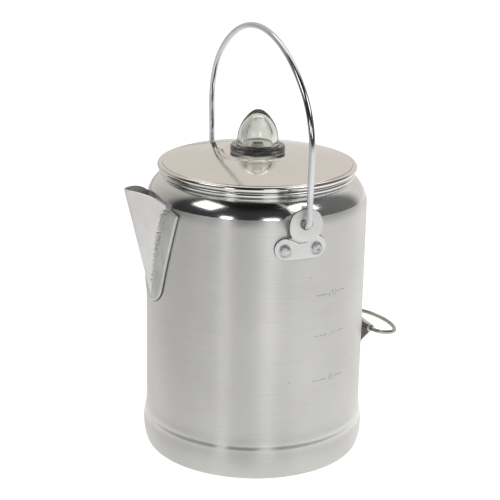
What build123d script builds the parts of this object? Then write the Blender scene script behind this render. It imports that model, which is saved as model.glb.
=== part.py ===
from build123d import *
import os
from math import asin, cos, degrees, pi, radians, sin, sqrt, tan

# Camping coffee percolator, in millimetres.
# Origin: centre of the flat base.  +Z is up, the spout points along -X, the rear loop
# along +X, and the two ears that carry the bail stand on -Y (front) and +Y (rear).

# Pot shell
POT_RADIUS = 83.0
WALL = 1.0
FOOT_RADIUS = 82.3
FOOT_ROUND = 3.0
BULGE_RADIUS = 85.3
BULGE_Z = 14.4
WALL_START_Z = 37.0
SHOULDER_Z = 192.5
SHOULDER_ROUND = 23.5
NECK_RADIUS = 70.8
RIM_BEAD_RADIUS = 2.0
RIM_BEAD_AT = (71.6, 215.2)
FORM_TOP_Z = 232.0

# Level marks stamped on the wall
MARK_HEIGHTS = (141.0, 109.6, 74.5)
MARK_SPANS = ((9.5, 17.0), (23.2, 28.7))
MARK_DEPTH = 0.25
MARK_WIDTH = 1.0

# Strainer holes behind the spout
STRAINER_HOLE = 4.6
STRAINER_PITCH = 8.5
STRAINER_FIRST_Z = 144.0
STRAINER_ROWS = 6
STRAINER_SQUEEZE = 0.8

# Spout
SPOUT_SHEET = 1.2
SPOUT_LOW_Z = 125.0
SPOUT_TOP_Z = 214.0
SPOUT_NOSE_AT_LOW = 84.0
SPOUT_NOSE_RATE = 0.2405
SPOUT_HALF_ANGLE = 45.6
SPOUT_NOSE_ROUND_RATE = 0.078
SPOUT_LEAST_ROUND = 0.3
SPOUT_TIP_CUT = 1.5
SPOUT_INSIDE_START_Z = 133.0
SPOUT_ROOT_X = 62.0
LIP_LINE = ((74.0, 194.2), (90.0, 206.3), (106.0, 209.2))
LIP_CUT_DEPTH = 20.0
LIP_CUT_RISE = 5.0
FLANGE_TOP = (37.7, 199.9)
FLANGE_LOW = (18.0, 136.8)
FLANGE_BOTTOM_Z = 122.8

# Bail ears
EAR_SHEET = 1.6
EAR_FACE_Y = 91.3
EAR_DISC = (197.0, 12.7)
EAR_HOLE = (199.6, 4.6)
EAR_NECK_HALF_WIDTH = 9.6
EAR_STEP_TOP_Z = 186.4
EAR_STEP_LOW = (84.6, 181.8)
EAR_LOBE_AT = (12.0, 179.3)
EAR_LOBE_RADIUS = 8.0
EAR_NOTCH = (9.1, 180.3)
EAR_ROOT_DEPTH = 6.0

# Rivets
RIVET_SHANK = 2.0
RIVET_FIT = 0.05
RIVET_HEAD_RADIUS = 3.9
RIVET_HEAD_HEIGHT = 1.9
RIVET_TAIL_RADIUS = 3.6
RIVET_TAIL_HEIGHT = 1.1
EAR_RIVET_OFFSET = 12.0
EAR_RIVET_Z = 178.6

# Bail
BAIL_WIRE = 2.4
BAIL_LEG_Y = 95.5
BAIL_HOOK_Y = 86.7
BAIL_HOOK_TOP_Z = 210.8
BAIL_BEND_Z = 197.7
BAIL_LEG_TOP = (96.6, 246.0)
BAIL_HAUNCH_RADIUS = 58.0
BAIL_TOP_Z = 322.5

# Rear loop and its bracket
LOOP_WIRE = 1.6
LOOP_PIVOT = (91.5, 84.0)
LOOP_DROOP = 11.5
LOOP_HALF_BARREL = 20.5
LOOP_SIDE = (6.5, 27.3)
LOOP_CORNER = (22.5, 18.0)
LOOP_BUTT_GAP = 0.2
BARREL_BORE = 1.68
BARREL_RADIUS = 3.1
BRACKET_SHEET = 1.4
BRACKET_HALF_WIDTH = 19.8
BRACKET_END_HALF_WIDTH = 8.5
BRACKET_LOW_Z = 62.0
BRACKET_TOP_Z = 106.0
BRACKET_FOLD_LOW_Z = 74.5
BRACKET_FOLD_TOP_Z = 91.5
BRACKET_LEAF_ENDS = (-2.4, 1.6)
BRACKET_LEAF_INSET = 1.0
BRACKET_CORNER = 5.0
BRACKET_RIVETS_Z = (68.0, 98.5)

# Lid
LID_SHEET = 0.9
LID_BEAD_RADIUS = 2.2
LID_BEAD_AT = (72.6, 219.7)
DOME_RADIUS = 324.0
DOME_TOP_Z = 229.9
DOME_EDGE = 72.0
BOSS_TOP_Z = 229.6
BOSS_RADIUS = 25.0
BOSS_FOOT_RADIUS = 29.0
KNOB_HOLE = 14.4
KNOB_NOTCH = (17.6, 8.0)
SKIRT_RADIUS = 69.1
SKIRT_SHEET = 0.8
SKIRT_LOW_Z = 205.0
SKIRT_FLANGE_RADIUS = 63.0

# Glass knob
GLASS_FLANGE_RADIUS = 20.5
GLASS_FLANGE_LOW_Z = 229.7
GLASS_FLANGE_EDGE_Z = 233.2
GLASS_FLANGE_TOP_Z = 235.7
GLASS_FLANGE_TOP_RADIUS = 18.2
GLASS_DOME_RADIUS = 15.5
GLASS_TOP_Z = 261.5
GLASS_BORE = 10.9
GLASS_BORE_TOP_Z = 256.2
GLASS_SIDE_Z = 238.0
GLASS_HAUNCH_RADIUS = 28.0
GLASS_BORE_HAUNCH_RADIUS = 24.0
GLASS_NECK = 14.0
GLASS_NECK_LOW_Z = 222.0
GLASS_LUG = (17.0, 6.5)
GLASS_LUG_SPAN = (225.4, 228.4)

# Stem and pump foot
STEM_RADIUS = 4.75
STEM_BORE = 4.0
STEM_LOW_Z = 13.0
STEM_TOP_Z = 236.0
FOOT_BELL_RADIUS = 37.5
FOOT_BELL_HEIGHT = 17.0
FOOT_RIM_HEIGHT = 4.0
FOOT_SHEET = 1.0
FOOT_SLEEVE_TOP_Z = 25.0
FOOT_BULGE = (0.62, 0.8)
FOOT_BULGE_INSET = 0.4
FOOT_SLOTS = 4
FOOT_SLOT_DEPTH = 5.0
FOOT_SLOT_WIDTH = 9.0
FOOT_SLOT_HEIGHT = 2.2
STEM_FIT = 0.05
COLLAR_RADIUS = 8.0
COLLAR_HEIGHT = 3.0

# Basket and spreader
BASKET_LOW_Z = 146.0
BASKET_TOP_Z = 198.6
BASKET_RADIUS = 52.5
BASKET_SHEET = 0.8
BASKET_CORNER = 3.5
BASKET_BEAD = 1.5
BASKET_BEAD_OUT = 0.7
BASKET_HOLE = 1.25
BASKET_HOLE_RINGS = (14.0, 46.0, 8.0)
HUB_BORE = 5.1
HUB_RADIUS = 6.0
HUB_FLANGE_RADIUS = 9.5
HUB_TOP_Z = 196.4
SPREADER_FLANGE_Z = 200.4
SPREADER_FLANGE_RADIUS = 55.5
SPREADER_PAN_Z = 197.4
SPREADER_PAN_RADIUS = 50.4
SPREADER_SHEET = 0.8
SPREADER_HOLE = 1.1
SPREADER_HOLE_RINGS = (15.0, 47.0, 7.0)
GUIDE_SHEET = 0.65
GUIDE_TOP_Z = 204.6

# Cutters: length of a drill through a sheet, and how far a cutter passes the surface it leaves
DRILL_LENGTH = 20.0
OVERRUN = 1.0

FULL_TURN = 360


def lathe(outline):
    """Turn a closed outline, drawn as (radius, height), about the pot's axis."""
    return revolve(Plane.XZ * make_face(outline), Axis.Z)


def tube(outer, inner, low, high):
    """A plain ring or tube about the pot's axis."""
    height = high - low
    return Pos(0, 0, low + height / 2) * (Cylinder(outer, height) - Cylinder(inner, height))


def bead(centre, radius):
    """A rolled edge: a round ring about the pot's axis."""
    return lathe(CenterArc(centre, radius, 0, FULL_TURN))


def slab(low, high):
    """A block wider than the pot between two heights, used to trim other forms."""
    size = 4 * POT_RADIUS
    return Pos(0, 0, (low + high) / 2) * Box(size, size, high - low)


def folded_sheet(points, thickness):
    """Outline of a bent sheet: the polyline and its copy moved sideways by the thickness."""
    vectors = [Vector(*point) for point in points]
    normals = []
    for start, end in zip(vectors, vectors[1:]):
        run = (end - start).normalized()
        normals.append(Vector(run.Y, -run.X))
    side = [vectors[0] + normals[0] * thickness]
    for corner, before, after in zip(vectors[1:], normals, normals[1:]):
        mitre = (before + after).normalized()
        side.append(corner + mitre * (thickness / mitre.dot(before)))
    side.append(vectors[-1] + normals[-1] * thickness)
    return Polyline(*vectors, *reversed(side), close=True)


def ring_of_holes(radius, count, hole, low, high):
    """Evenly spaced upright holes on one circle."""
    pin = Pos(radius, 0, (low + high) / 2) * Cylinder(hole, high - low)
    return [Rot(0, 0, FULL_TURN * index / count) * pin for index in range(count)]


def perforations(first, last, pitch, hole, low, high):
    """Holes on circles one pitch apart, and about one pitch apart along each circle."""
    holes = []
    radius = first
    while radius <= last:
        count = int(2 * pi * radius / pitch)
        holes += ring_of_holes(radius, count, hole, low, high)
        radius += pitch
    return holes


def crown_start(side, haunch_radius, top):
    """Where an arch's haunch, tangent to its side, meets a crown that peaks at the top."""
    end, along = side @ 1, side % 1
    centre = end - Vector(along.Y, -along.X) * haunch_radius
    room = top - haunch_radius
    crown_z = (room ** 2 - centre.X ** 2 - centre.Y ** 2) / (2 * (room - centre.Y))
    crown_radius = top - crown_z
    swap = 1 if crown_radius > haunch_radius else -1
    reach = Vector(centre.X, centre.Y - crown_z).normalized() * (swap * crown_radius)
    return (reach.X, crown_z + reach.Y)


# ---- Pot shell ---------------------------------------------------------------------

def pot_outline():
    """Half of the pot's outside, closed along its axis, with the neck run on upwards."""
    shoulder_centre = POT_RADIUS - SHOULDER_ROUND
    sweep = degrees(asin(sqrt(1 - ((NECK_RADIUS - shoulder_centre) / SHOULDER_ROUND) ** 2)))
    waist = ((BULGE_RADIUS + POT_RADIUS) / 2, (BULGE_Z + WALL_START_Z) / 2)
    floor = Line((0, 0), (FOOT_RADIUS, 0))
    low_bulge = TangentArc((BULGE_RADIUS, BULGE_Z), (FOOT_RADIUS, 0), tangent=(0, -1))
    high_bulge = TangentArc((BULGE_RADIUS, BULGE_Z), waist, tangent=(0, 1))
    hollow = TangentArc(waist, (POT_RADIUS, WALL_START_Z), tangent=high_bulge % 1)
    side = Line((POT_RADIUS, WALL_START_Z), (POT_RADIUS, SHOULDER_Z))
    shoulder = CenterArc((shoulder_centre, SHOULDER_Z), SHOULDER_ROUND, 0, sweep)
    neck = Polyline(shoulder @ 1, (NECK_RADIUS, FORM_TOP_Z), (0, FORM_TOP_Z), (0, 0))
    return Curve() + [floor, low_bulge, high_bulge, hollow, side, shoulder, neck]


def pot_forms():
    """The pot as a solid block to its outside, and the block that hollows it."""
    half = make_face(pot_outline())
    foot_corner = half.vertices().group_by(Axis.Y)[0].sort_by(Axis.X)[-1]
    half = fillet(foot_corner, FOOT_ROUND)
    whole = half + mirror(half, about=Plane.YZ)
    hollow = offset(whole, amount=-WALL)
    right_side = Pos(POT_RADIUS, FORM_TOP_Z / 2) * Rectangle(2 * POT_RADIUS, 2 * FORM_TOP_Z)
    inside = hollow & right_side
    return revolve(Plane.XZ * half, Axis.Z), revolve(Plane.XZ * inside, Axis.Z)


def level_mark(height, start, end):
    """A short stamped line on the wall, its ends given as angles from -Y towards +X."""
    reach = 2 * POT_RADIUS
    corners = [(reach * sin(radians(angle)), -reach * cos(radians(angle))) for angle in (start, end)]
    wedge = Pos(0, 0, height - MARK_WIDTH / 2) * extrude(Polygon((0, 0), *corners, align=None), MARK_WIDTH)
    skin = tube(POT_RADIUS + OVERRUN, POT_RADIUS - MARK_DEPTH, height - MARK_WIDTH, height + MARK_WIDTH)
    return skin & wedge


def strainer_holes():
    """A triangle of holes through the wall, inside the foot of the spout."""
    holes = []
    pin = Rot(0, 90, 0) * Cylinder(STRAINER_HOLE / 2, DRILL_LENGTH)
    for row in range(STRAINER_ROWS):
        height = STRAINER_FIRST_Z + row * STRAINER_PITCH
        for place in range(row + 1):
            across = (place - row / 2) * STRAINER_PITCH * STRAINER_SQUEEZE
            turn = degrees(asin(across / POT_RADIUS))
            holes.append(Pos(0, 0, height) * Rot(0, 0, 180 + turn) * Pos(POT_RADIUS, 0, 0) * pin)
    return holes


def pot_body(outer, inner, rivet_holes):
    shell = (outer - inner) & slab(-OVERRUN, RIM_BEAD_AT[1])
    shell += bead(RIM_BEAD_AT, RIM_BEAD_RADIUS)
    for height in MARK_HEIGHTS:
        for start, end in MARK_SPANS:
            shell -= level_mark(height, start, end)
    for cutter in strainer_holes() + rivet_holes:
        shell -= cutter
    return shell


# ---- Spout -------------------------------------------------------------------------
# Drawn towards +X, then turned half round.

def spout_section(height, sheet):
    """A V with a round nose at one height, moved inwards by the sheet."""
    rise = height - SPOUT_LOW_Z
    nose_round = SPOUT_NOSE_ROUND_RATE * rise
    nose = SPOUT_NOSE_AT_LOW + SPOUT_NOSE_RATE * rise
    slant = 1 / sin(radians(SPOUT_HALF_ANGLE))
    tip = nose + nose_round * (slant - 1) - sheet * slant
    half_width = (tip - SPOUT_ROOT_X) * tan(radians(SPOUT_HALF_ANGLE))
    corners = ((SPOUT_ROOT_X, -half_width), (tip, 0), (SPOUT_ROOT_X, half_width))
    face = Polygon(*corners, align=None)
    face = fillet(face.vertices().sort_by(Axis.X)[-1], max(nose_round - sheet, SPOUT_LEAST_ROUND))
    return Pos(0, 0, height) * face


def spout_flange(outer):
    """The sheet that lies on the wall and shoulder around the spout's foot."""
    gap = SPOUT_SHEET
    centre = POT_RADIUS - SHOULDER_ROUND
    skin = lathe(Curve() + [
        Line((centre, 0), (POT_RADIUS + gap, 0)),
        Line((POT_RADIUS + gap, 0), (POT_RADIUS + gap, SHOULDER_Z)),
        CenterArc((centre, SHOULDER_Z), SHOULDER_ROUND + gap, 0, 90),
        Line((centre, SHOULDER_Z + SHOULDER_ROUND + gap), (centre, 0)),
    ])
    low_y, low_z = FLANGE_LOW
    top_y, top_z = FLANGE_TOP
    round_end = ThreePointArc((-low_y, low_z), (0, FLANGE_BOTTOM_Z), (low_y, low_z))
    sides = Polyline((low_y, low_z), (top_y, top_z), (-top_y, top_z), (-low_y, low_z))
    window = extrude(Plane.YZ * make_face(Curve() + [round_end, sides]), 2 * POT_RADIUS)
    return (skin & window) - outer


def spout(outer):
    body_heights = (SPOUT_LOW_Z + SPOUT_TIP_CUT, SPOUT_TOP_Z)
    body = loft([spout_section(height, 0) for height in body_heights], ruled=True)
    channel_heights = (SPOUT_INSIDE_START_Z, SPOUT_TOP_Z + OVERRUN)
    channel = loft([spout_section(height, SPOUT_SHEET) for height in channel_heights], ruled=True)
    start, middle, end = LIP_LINE
    lip = ThreePointArc(start, middle, end)
    inner_x = start[0] - LIP_CUT_DEPTH
    clear_z = SPOUT_TOP_Z + LIP_CUT_RISE
    above = Polyline(end, (end[0], clear_z), (inner_x, clear_z), (inner_x, start[1]), start)
    cutter = extrude(Plane.XZ * make_face(Curve() + [lip, above]), POT_RADIUS, both=True)
    sheet = (body - outer) + spout_flange(outer)
    return Rot(0, 0, 180) * (sheet - channel - cutter)


# ---- Ears and rivets ---------------------------------------------------------------
# The front ear is drawn on -Y, the rear ear is the same piece turned half round.

def rivet(seat, inside):
    """A round-headed rivet along +X: head on the seat, shank through, tail inside."""
    head_top = seat + RIVET_HEAD_HEIGHT
    cap_radius = (RIVET_HEAD_RADIUS ** 2 + RIVET_HEAD_HEIGHT ** 2) / (2 * RIVET_HEAD_HEIGHT)
    edge_angle = degrees(asin((cap_radius - RIVET_HEAD_HEIGHT) / cap_radius))
    tail_end = inside - RIVET_TAIL_HEIGHT
    cap = CenterArc((0, head_top - cap_radius), cap_radius, edge_angle, 90 - edge_angle)
    below = Polyline(cap @ 1, (0, tail_end), (RIVET_TAIL_RADIUS, tail_end),
                     (RIVET_TAIL_RADIUS, inside), (RIVET_SHANK, inside), (RIVET_SHANK, seat), cap @ 0)
    return Rot(0, 90, 0) * lathe(Curve() + [cap, below])


def at_wall(turn, height, item):
    """Move an item drawn along +X so that it points outwards at an angle from +X."""
    return Pos(0, 0, height) * Rot(0, 0, turn) * item


def ear_rivet_turns(facing):
    lean = degrees(asin(EAR_RIVET_OFFSET / POT_RADIUS))
    return (facing - lean, facing + lean)


def shank_hole(turn, height):
    drill = Rot(0, 90, 0) * Cylinder(RIVET_SHANK + RIVET_FIT, DRILL_LENGTH)
    return at_wall(turn, height, Pos(POT_RADIUS, 0, 0) * drill)


def ear_rivets(facing):
    seat = POT_RADIUS + EAR_SHEET + RIVET_FIT
    inside = POT_RADIUS - WALL - 2 * RIVET_FIT
    return [at_wall(turn, EAR_RIVET_Z, rivet(seat, inside)) for turn in ear_rivet_turns(facing)]


def ear(outer):
    """A stamped ear: two riveted lobes on the wall, stepped out to a plate with an eye."""
    disc_z, disc_radius = EAR_DISC
    hole_z, hole_radius = EAR_HOLE
    lobe_x, lobe_z = EAR_LOBE_AT
    step_y, step_z = EAR_STEP_LOW
    plate_front = Pos(0, disc_z) * Circle(disc_radius)
    plate_front += Pos(0, (disc_z + step_z) / 2) * Rectangle(2 * EAR_NECK_HALF_WIDTH, disc_z - step_z)
    foot_front = Pos(0, lobe_z) * Rectangle(2 * lobe_x, 2 * EAR_LOBE_RADIUS)
    for side_x in (-lobe_x, lobe_x):
        foot_front += Pos(side_x, lobe_z) * Circle(EAR_LOBE_RADIUS)
    notch_half_width, notch_z = EAR_NOTCH
    notch_front = Rectangle(2 * notch_half_width, 2 * disc_radius)
    foot_front -= Pos(0, notch_z + disc_radius) * notch_front

    slope = (EAR_STEP_TOP_Z - step_z) / (EAR_FACE_Y - step_y)
    root_y = POT_RADIUS - EAR_ROOT_DEPTH
    bends = ((-root_y, EAR_STEP_TOP_Z - slope * (EAR_FACE_Y - root_y)),
             (-EAR_FACE_Y, EAR_STEP_TOP_Z), (-EAR_FACE_Y, disc_z + 2 * disc_radius))
    section = make_face(folded_sheet(bends, EAR_SHEET))
    raised = extrude(Plane.YZ * section, 2 * disc_radius, both=True)
    raised &= extrude(Plane.XZ * plate_front, 2 * POT_RADIUS)
    foot_reach = 2 * EAR_LOBE_RADIUS
    foot = tube(POT_RADIUS + EAR_SHEET, POT_RADIUS, lobe_z - foot_reach, lobe_z + foot_reach)
    foot &= extrude(Plane.XZ * foot_front, 2 * POT_RADIUS)
    eye = Pos(0, -EAR_FACE_Y, hole_z) * Rot(90, 0, 0) * Cylinder(hole_radius, DRILL_LENGTH)
    piece = raised + foot - outer - eye
    for turn in ear_rivet_turns(-90):
        piece -= shank_hole(turn, EAR_RIVET_Z)
    return piece


# ---- Bail --------------------------------------------------------------------------

def mirrored(edges, plane):
    """The other half of a symmetric wire, in the order that carries on from the first."""
    return [mirror(edge, about=plane).edge() for edge in reversed(edges)]


def bail_handle():
    """One round wire: an arch with a leg each side, hooked through the eyes of the ears."""
    bend = (BAIL_LEG_Y - BAIL_HOOK_Y) / 2
    low_z = BAIL_BEND_Z + bend
    hook = Line((BAIL_HOOK_Y, BAIL_HOOK_TOP_Z), (BAIL_HOOK_Y, low_z))
    eye = ThreePointArc(hook @ 1, (BAIL_HOOK_Y + bend, BAIL_BEND_Z), (BAIL_LEG_Y, low_z))
    leg = TangentArc(eye @ 1, BAIL_LEG_TOP, tangent=eye % 1)
    crown_x, crown_z = crown_start(leg, BAIL_HAUNCH_RADIUS, BAIL_TOP_Z)
    haunch = TangentArc(leg @ 1, (crown_x, crown_z), tangent=leg % 1)
    crown = TangentArc(haunch @ 1, (-crown_x, crown_z), tangent=haunch % 1)
    one_side = [hook, eye, leg, haunch]
    path = Plane.YZ * Wire(one_side + [crown] + mirrored(one_side, Plane.YZ))
    start = Plane(origin=path @ 0, z_dir=path % 0)
    return sweep(start * Circle(BAIL_WIRE), path=path)


# ---- Rear loop ---------------------------------------------------------------------

def loop_axis(item):
    """Place an item drawn flat about the loop's pivot, with its rest droop."""
    pivot_x, pivot_z = LOOP_PIVOT
    return Pos(pivot_x, 0, pivot_z) * Rot(0, LOOP_DROOP, 0) * item


def rear_loop():
    """A D of round wire: its straight side turns in the bracket's barrel."""
    half_side = Line((0, LOOP_BUTT_GAP), (0, LOOP_HALF_BARREL))
    turn_out = TangentArc(half_side @ 1, LOOP_SIDE, tangent=(0, 1))
    flank = TangentArc(turn_out @ 1, LOOP_CORNER, tangent=turn_out % 1)
    end_corner = (LOOP_CORNER[0], -LOOP_CORNER[1])
    nose = TangentArc(flank @ 1, end_corner, tangent=flank % 1)
    one_side = [half_side, turn_out, flank]
    path = Wire(one_side + [nose] + mirrored(one_side, Plane.XZ))
    start = Plane(origin=path @ 0, z_dir=path % 0)
    return loop_axis(sweep(start * Circle(LOOP_WIRE), path=path))


def loop_bracket():
    """A folded strap, riveted above and below, with the loop's barrel at its fold."""
    pivot_x, pivot_z = LOOP_PIVOT
    wall_x = POT_RADIUS + RIVET_FIT
    leaf_x = pivot_x - BRACKET_LEAF_INSET
    low_end, high_end = BRACKET_LEAF_ENDS
    lower = ((wall_x, BRACKET_LOW_Z), (wall_x, BRACKET_FOLD_LOW_Z), (leaf_x, pivot_z + low_end))
    upper = ((leaf_x, pivot_z + high_end), (wall_x, BRACKET_FOLD_TOP_Z), (wall_x, BRACKET_TOP_Z))
    strap = Plane.XZ * make_face(folded_sheet(lower, BRACKET_SHEET))
    strap += Plane.XZ * make_face(folded_sheet(upper, BRACKET_SHEET))
    length = 2 * BRACKET_HALF_WIDTH
    at_pivot = Pos(pivot_x, 0, pivot_z) * Rot(90, 0, 0)
    piece = extrude(strap, BRACKET_HALF_WIDTH, both=True) + at_pivot * Cylinder(BARREL_RADIUS, length)
    outline = Polygon(
        (-BRACKET_END_HALF_WIDTH, BRACKET_LOW_Z), (BRACKET_END_HALF_WIDTH, BRACKET_LOW_Z),
        (BRACKET_HALF_WIDTH, BRACKET_FOLD_LOW_Z), (BRACKET_HALF_WIDTH, BRACKET_FOLD_TOP_Z),
        (BRACKET_END_HALF_WIDTH, BRACKET_TOP_Z), (-BRACKET_END_HALF_WIDTH, BRACKET_TOP_Z),
        (-BRACKET_HALF_WIDTH, BRACKET_FOLD_TOP_Z), (-BRACKET_HALF_WIDTH, BRACKET_FOLD_LOW_Z),
        align=None)
    ends = outline.vertices().group_by(Axis.Y)
    outline = fillet(ends[0] + ends[-1], BRACKET_CORNER)
    piece &= extrude(Plane.YZ * outline, 2 * POT_RADIUS)
    piece -= at_pivot * Cylinder(BARREL_BORE, 2 * length)
    for height in BRACKET_RIVETS_Z:
        piece -= shank_hole(0, height)
    return piece


def bracket_rivets():
    seat = POT_RADIUS + BRACKET_SHEET + 2 * RIVET_FIT
    inside = POT_RADIUS - WALL - 2 * RIVET_FIT
    return [at_wall(0, height, rivet(seat, inside)) for height in BRACKET_RIVETS_Z]


# ---- Lid and glass knob ------------------------------------------------------------

def dome_height(radius, sheet=0):
    """Height of the lid's dome, or of its underside, at a distance from the axis."""
    sphere = DOME_RADIUS - sheet
    return DOME_TOP_Z - DOME_RADIUS + sqrt(sphere ** 2 - radius ** 2)


def lid_shell():
    """The spun cover: rolled edge, shallow dome, flat boss with the knob's hole."""
    middle = (BOSS_FOOT_RADIUS + DOME_EDGE) / 2
    top_dome = ThreePointArc(*[(r, dome_height(r)) for r in (BOSS_FOOT_RADIUS, middle, DOME_EDGE)])
    under = (DOME_EDGE, middle, BOSS_FOOT_RADIUS)
    under_dome = ThreePointArc(*[(r, dome_height(r, LID_SHEET)) for r in under])
    boss_under_z = BOSS_TOP_Z - LID_SHEET
    boss = Polyline(under_dome @ 1, (BOSS_RADIUS, boss_under_z), (KNOB_HOLE, boss_under_z),
                    (KNOB_HOLE, BOSS_TOP_Z), (BOSS_RADIUS, BOSS_TOP_Z), top_dome @ 0)
    edge = Line(top_dome @ 1, under_dome @ 0)
    cover = lathe(Curve() + [top_dome, edge, under_dome, boss]) + bead(LID_BEAD_AT, LID_BEAD_RADIUS)
    reach, width = KNOB_NOTCH
    return cover - Pos(0, 0, BOSS_TOP_Z) * Box(width, 2 * reach, 4 * LID_SHEET)


def lid_skirt():
    """The ring under the cover that centres the lid in the pot's mouth."""
    inner = SKIRT_RADIUS - SKIRT_SHEET
    under = LID_SHEET + RIVET_FIT
    corners = (
        (SKIRT_RADIUS, SKIRT_LOW_Z),
        (SKIRT_RADIUS, dome_height(SKIRT_RADIUS, under)),
        (SKIRT_FLANGE_RADIUS, dome_height(SKIRT_FLANGE_RADIUS, under)),
        (SKIRT_FLANGE_RADIUS, dome_height(SKIRT_FLANGE_RADIUS, under + SKIRT_SHEET)),
        (inner, dome_height(inner, under + SKIRT_SHEET)),
        (inner, SKIRT_LOW_Z),
    )
    return lathe(Polyline(*corners, close=True))


def bullet(radius, start_z, top_z, haunch_radius):
    """A round-nosed outline from a straight side up to the axis."""
    side = Line((radius, start_z), (radius, GLASS_SIDE_Z))
    join = crown_start(side, haunch_radius, top_z)
    haunch = TangentArc(side @ 1, join, tangent=side % 1)
    crown = TangentArc(haunch @ 1, (0, top_z), tangent=haunch % 1)
    return [side, haunch, crown]


def glass_knob():
    """A clear dome over the stem, with a flange on the lid and two lugs below it."""
    outer = bullet(GLASS_DOME_RADIUS, GLASS_FLANGE_TOP_Z, GLASS_TOP_Z, GLASS_HAUNCH_RADIUS)
    bore = bullet(GLASS_BORE, GLASS_NECK_LOW_Z, GLASS_BORE_TOP_Z, GLASS_BORE_HAUNCH_RADIUS)
    flange = Polyline(
        (GLASS_BORE, GLASS_NECK_LOW_Z), (GLASS_NECK, GLASS_NECK_LOW_Z),
        (GLASS_NECK, GLASS_FLANGE_LOW_Z), (GLASS_FLANGE_RADIUS, GLASS_FLANGE_LOW_Z),
        (GLASS_FLANGE_RADIUS, GLASS_FLANGE_EDGE_Z), (GLASS_FLANGE_TOP_RADIUS, GLASS_FLANGE_TOP_Z),
        (GLASS_DOME_RADIUS, GLASS_FLANGE_TOP_Z))
    axis_line = Line((0, GLASS_TOP_Z), (0, GLASS_BORE_TOP_Z))
    knob = lathe(Curve() + outer + bore + [flange, axis_line])
    reach, width = GLASS_LUG
    low, high = GLASS_LUG_SPAN
    bar = Pos(0, 0, (low + high) / 2) * Box(2 * reach, width, high - low)
    return knob + (bar & tube(reach, GLASS_BORE + OVERRUN, low, high))


# ---- Pump stem ---------------------------------------------------------------------

def stem_tube():
    return tube(STEM_RADIUS, STEM_BORE, STEM_LOW_Z, STEM_TOP_Z)


def pump_foot():
    """The bell on the pot's floor, with slots at its rim and a sleeve for the stem."""
    base = WALL
    sleeve = STEM_RADIUS + STEM_FIT
    shoulder_r = sleeve + FOOT_SHEET
    top_z = base + FOOT_BELL_HEIGHT
    rim_z = base + FOOT_RIM_HEIGHT
    bell_inside = FOOT_BELL_RADIUS - FOOT_SHEET
    bulge_share, rise_share = FOOT_BULGE
    bulge = (bulge_share * FOOT_BELL_RADIUS, base + rise_share * FOOT_BELL_HEIGHT)
    bulge_inside = (bulge[0] - FOOT_BULGE_INSET * FOOT_SHEET, bulge[1] - FOOT_SHEET)
    outer_dome = ThreePointArc((FOOT_BELL_RADIUS, rim_z), bulge, (shoulder_r, top_z))
    inner_dome = ThreePointArc((sleeve, top_z - FOOT_SHEET), bulge_inside, (bell_inside, rim_z))
    collar = Polyline((shoulder_r, top_z), (shoulder_r, FOOT_SLEEVE_TOP_Z),
                      (sleeve, FOOT_SLEEVE_TOP_Z), (sleeve, top_z - FOOT_SHEET))
    rim = Polyline((bell_inside, rim_z), (bell_inside, base),
                   (FOOT_BELL_RADIUS, base), (FOOT_BELL_RADIUS, rim_z))
    bell = lathe(Curve() + [outer_dome, collar, inner_dome, rim])
    slot = Pos(FOOT_BELL_RADIUS, 0, base) * Box(2 * FOOT_SLOT_DEPTH, FOOT_SLOT_WIDTH, 2 * FOOT_SLOT_HEIGHT)
    for index in range(FOOT_SLOTS):
        bell -= Rot(0, 0, FULL_TURN * (index + 0.5) / FOOT_SLOTS) * slot
    return bell


def stem_stop_collar():
    return tube(COLLAR_RADIUS, STEM_RADIUS + STEM_FIT, BASKET_LOW_Z - COLLAR_HEIGHT, BASKET_LOW_Z)


# ---- Basket and spreader -----------------------------------------------------------

def basket_shell():
    """The drawn coffee basket: perforated floor, plain wall, rolled edge."""
    outside = Pos(BASKET_RADIUS / 2, (BASKET_LOW_Z + BASKET_TOP_Z) / 2)
    outside *= Rectangle(BASKET_RADIUS, BASKET_TOP_Z - BASKET_LOW_Z)
    corner = outside.vertices().group_by(Axis.Y)[0].sort_by(Axis.X)[-1]
    outside = fillet(corner, BASKET_CORNER)
    inner_radius = BASKET_RADIUS - BASKET_SHEET
    floor_z = BASKET_LOW_Z + BASKET_SHEET
    room = 2 * (BASKET_TOP_Z - BASKET_LOW_Z)
    inside = Pos(inner_radius / 2, floor_z + room / 2) * Rectangle(inner_radius, room)
    corner = inside.vertices().group_by(Axis.Y)[0].sort_by(Axis.X)[-1]
    inside = fillet(corner, BASKET_CORNER - BASKET_SHEET)
    cup = revolve(Plane.XZ * (outside - inside), Axis.Z)
    cup += bead((BASKET_RADIUS + BASKET_BEAD_OUT, BASKET_TOP_Z), BASKET_BEAD)
    cup -= Pos(0, 0, BASKET_LOW_Z) * Cylinder(HUB_RADIUS + STEM_FIT, DRILL_LENGTH)
    span = (BASKET_LOW_Z - OVERRUN, floor_z + OVERRUN)
    for hole in perforations(*BASKET_HOLE_RINGS, BASKET_HOLE, *span):
        cup -= hole
    return cup


def basket_hub():
    """The sleeve in the middle of the basket that slides down the stem."""
    floor_z = BASKET_LOW_Z + BASKET_SHEET
    sleeve = tube(HUB_RADIUS, HUB_BORE, BASKET_LOW_Z, HUB_TOP_Z)
    return sleeve + tube(HUB_FLANGE_RADIUS, HUB_BORE, floor_z, floor_z + BASKET_SHEET)


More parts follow.
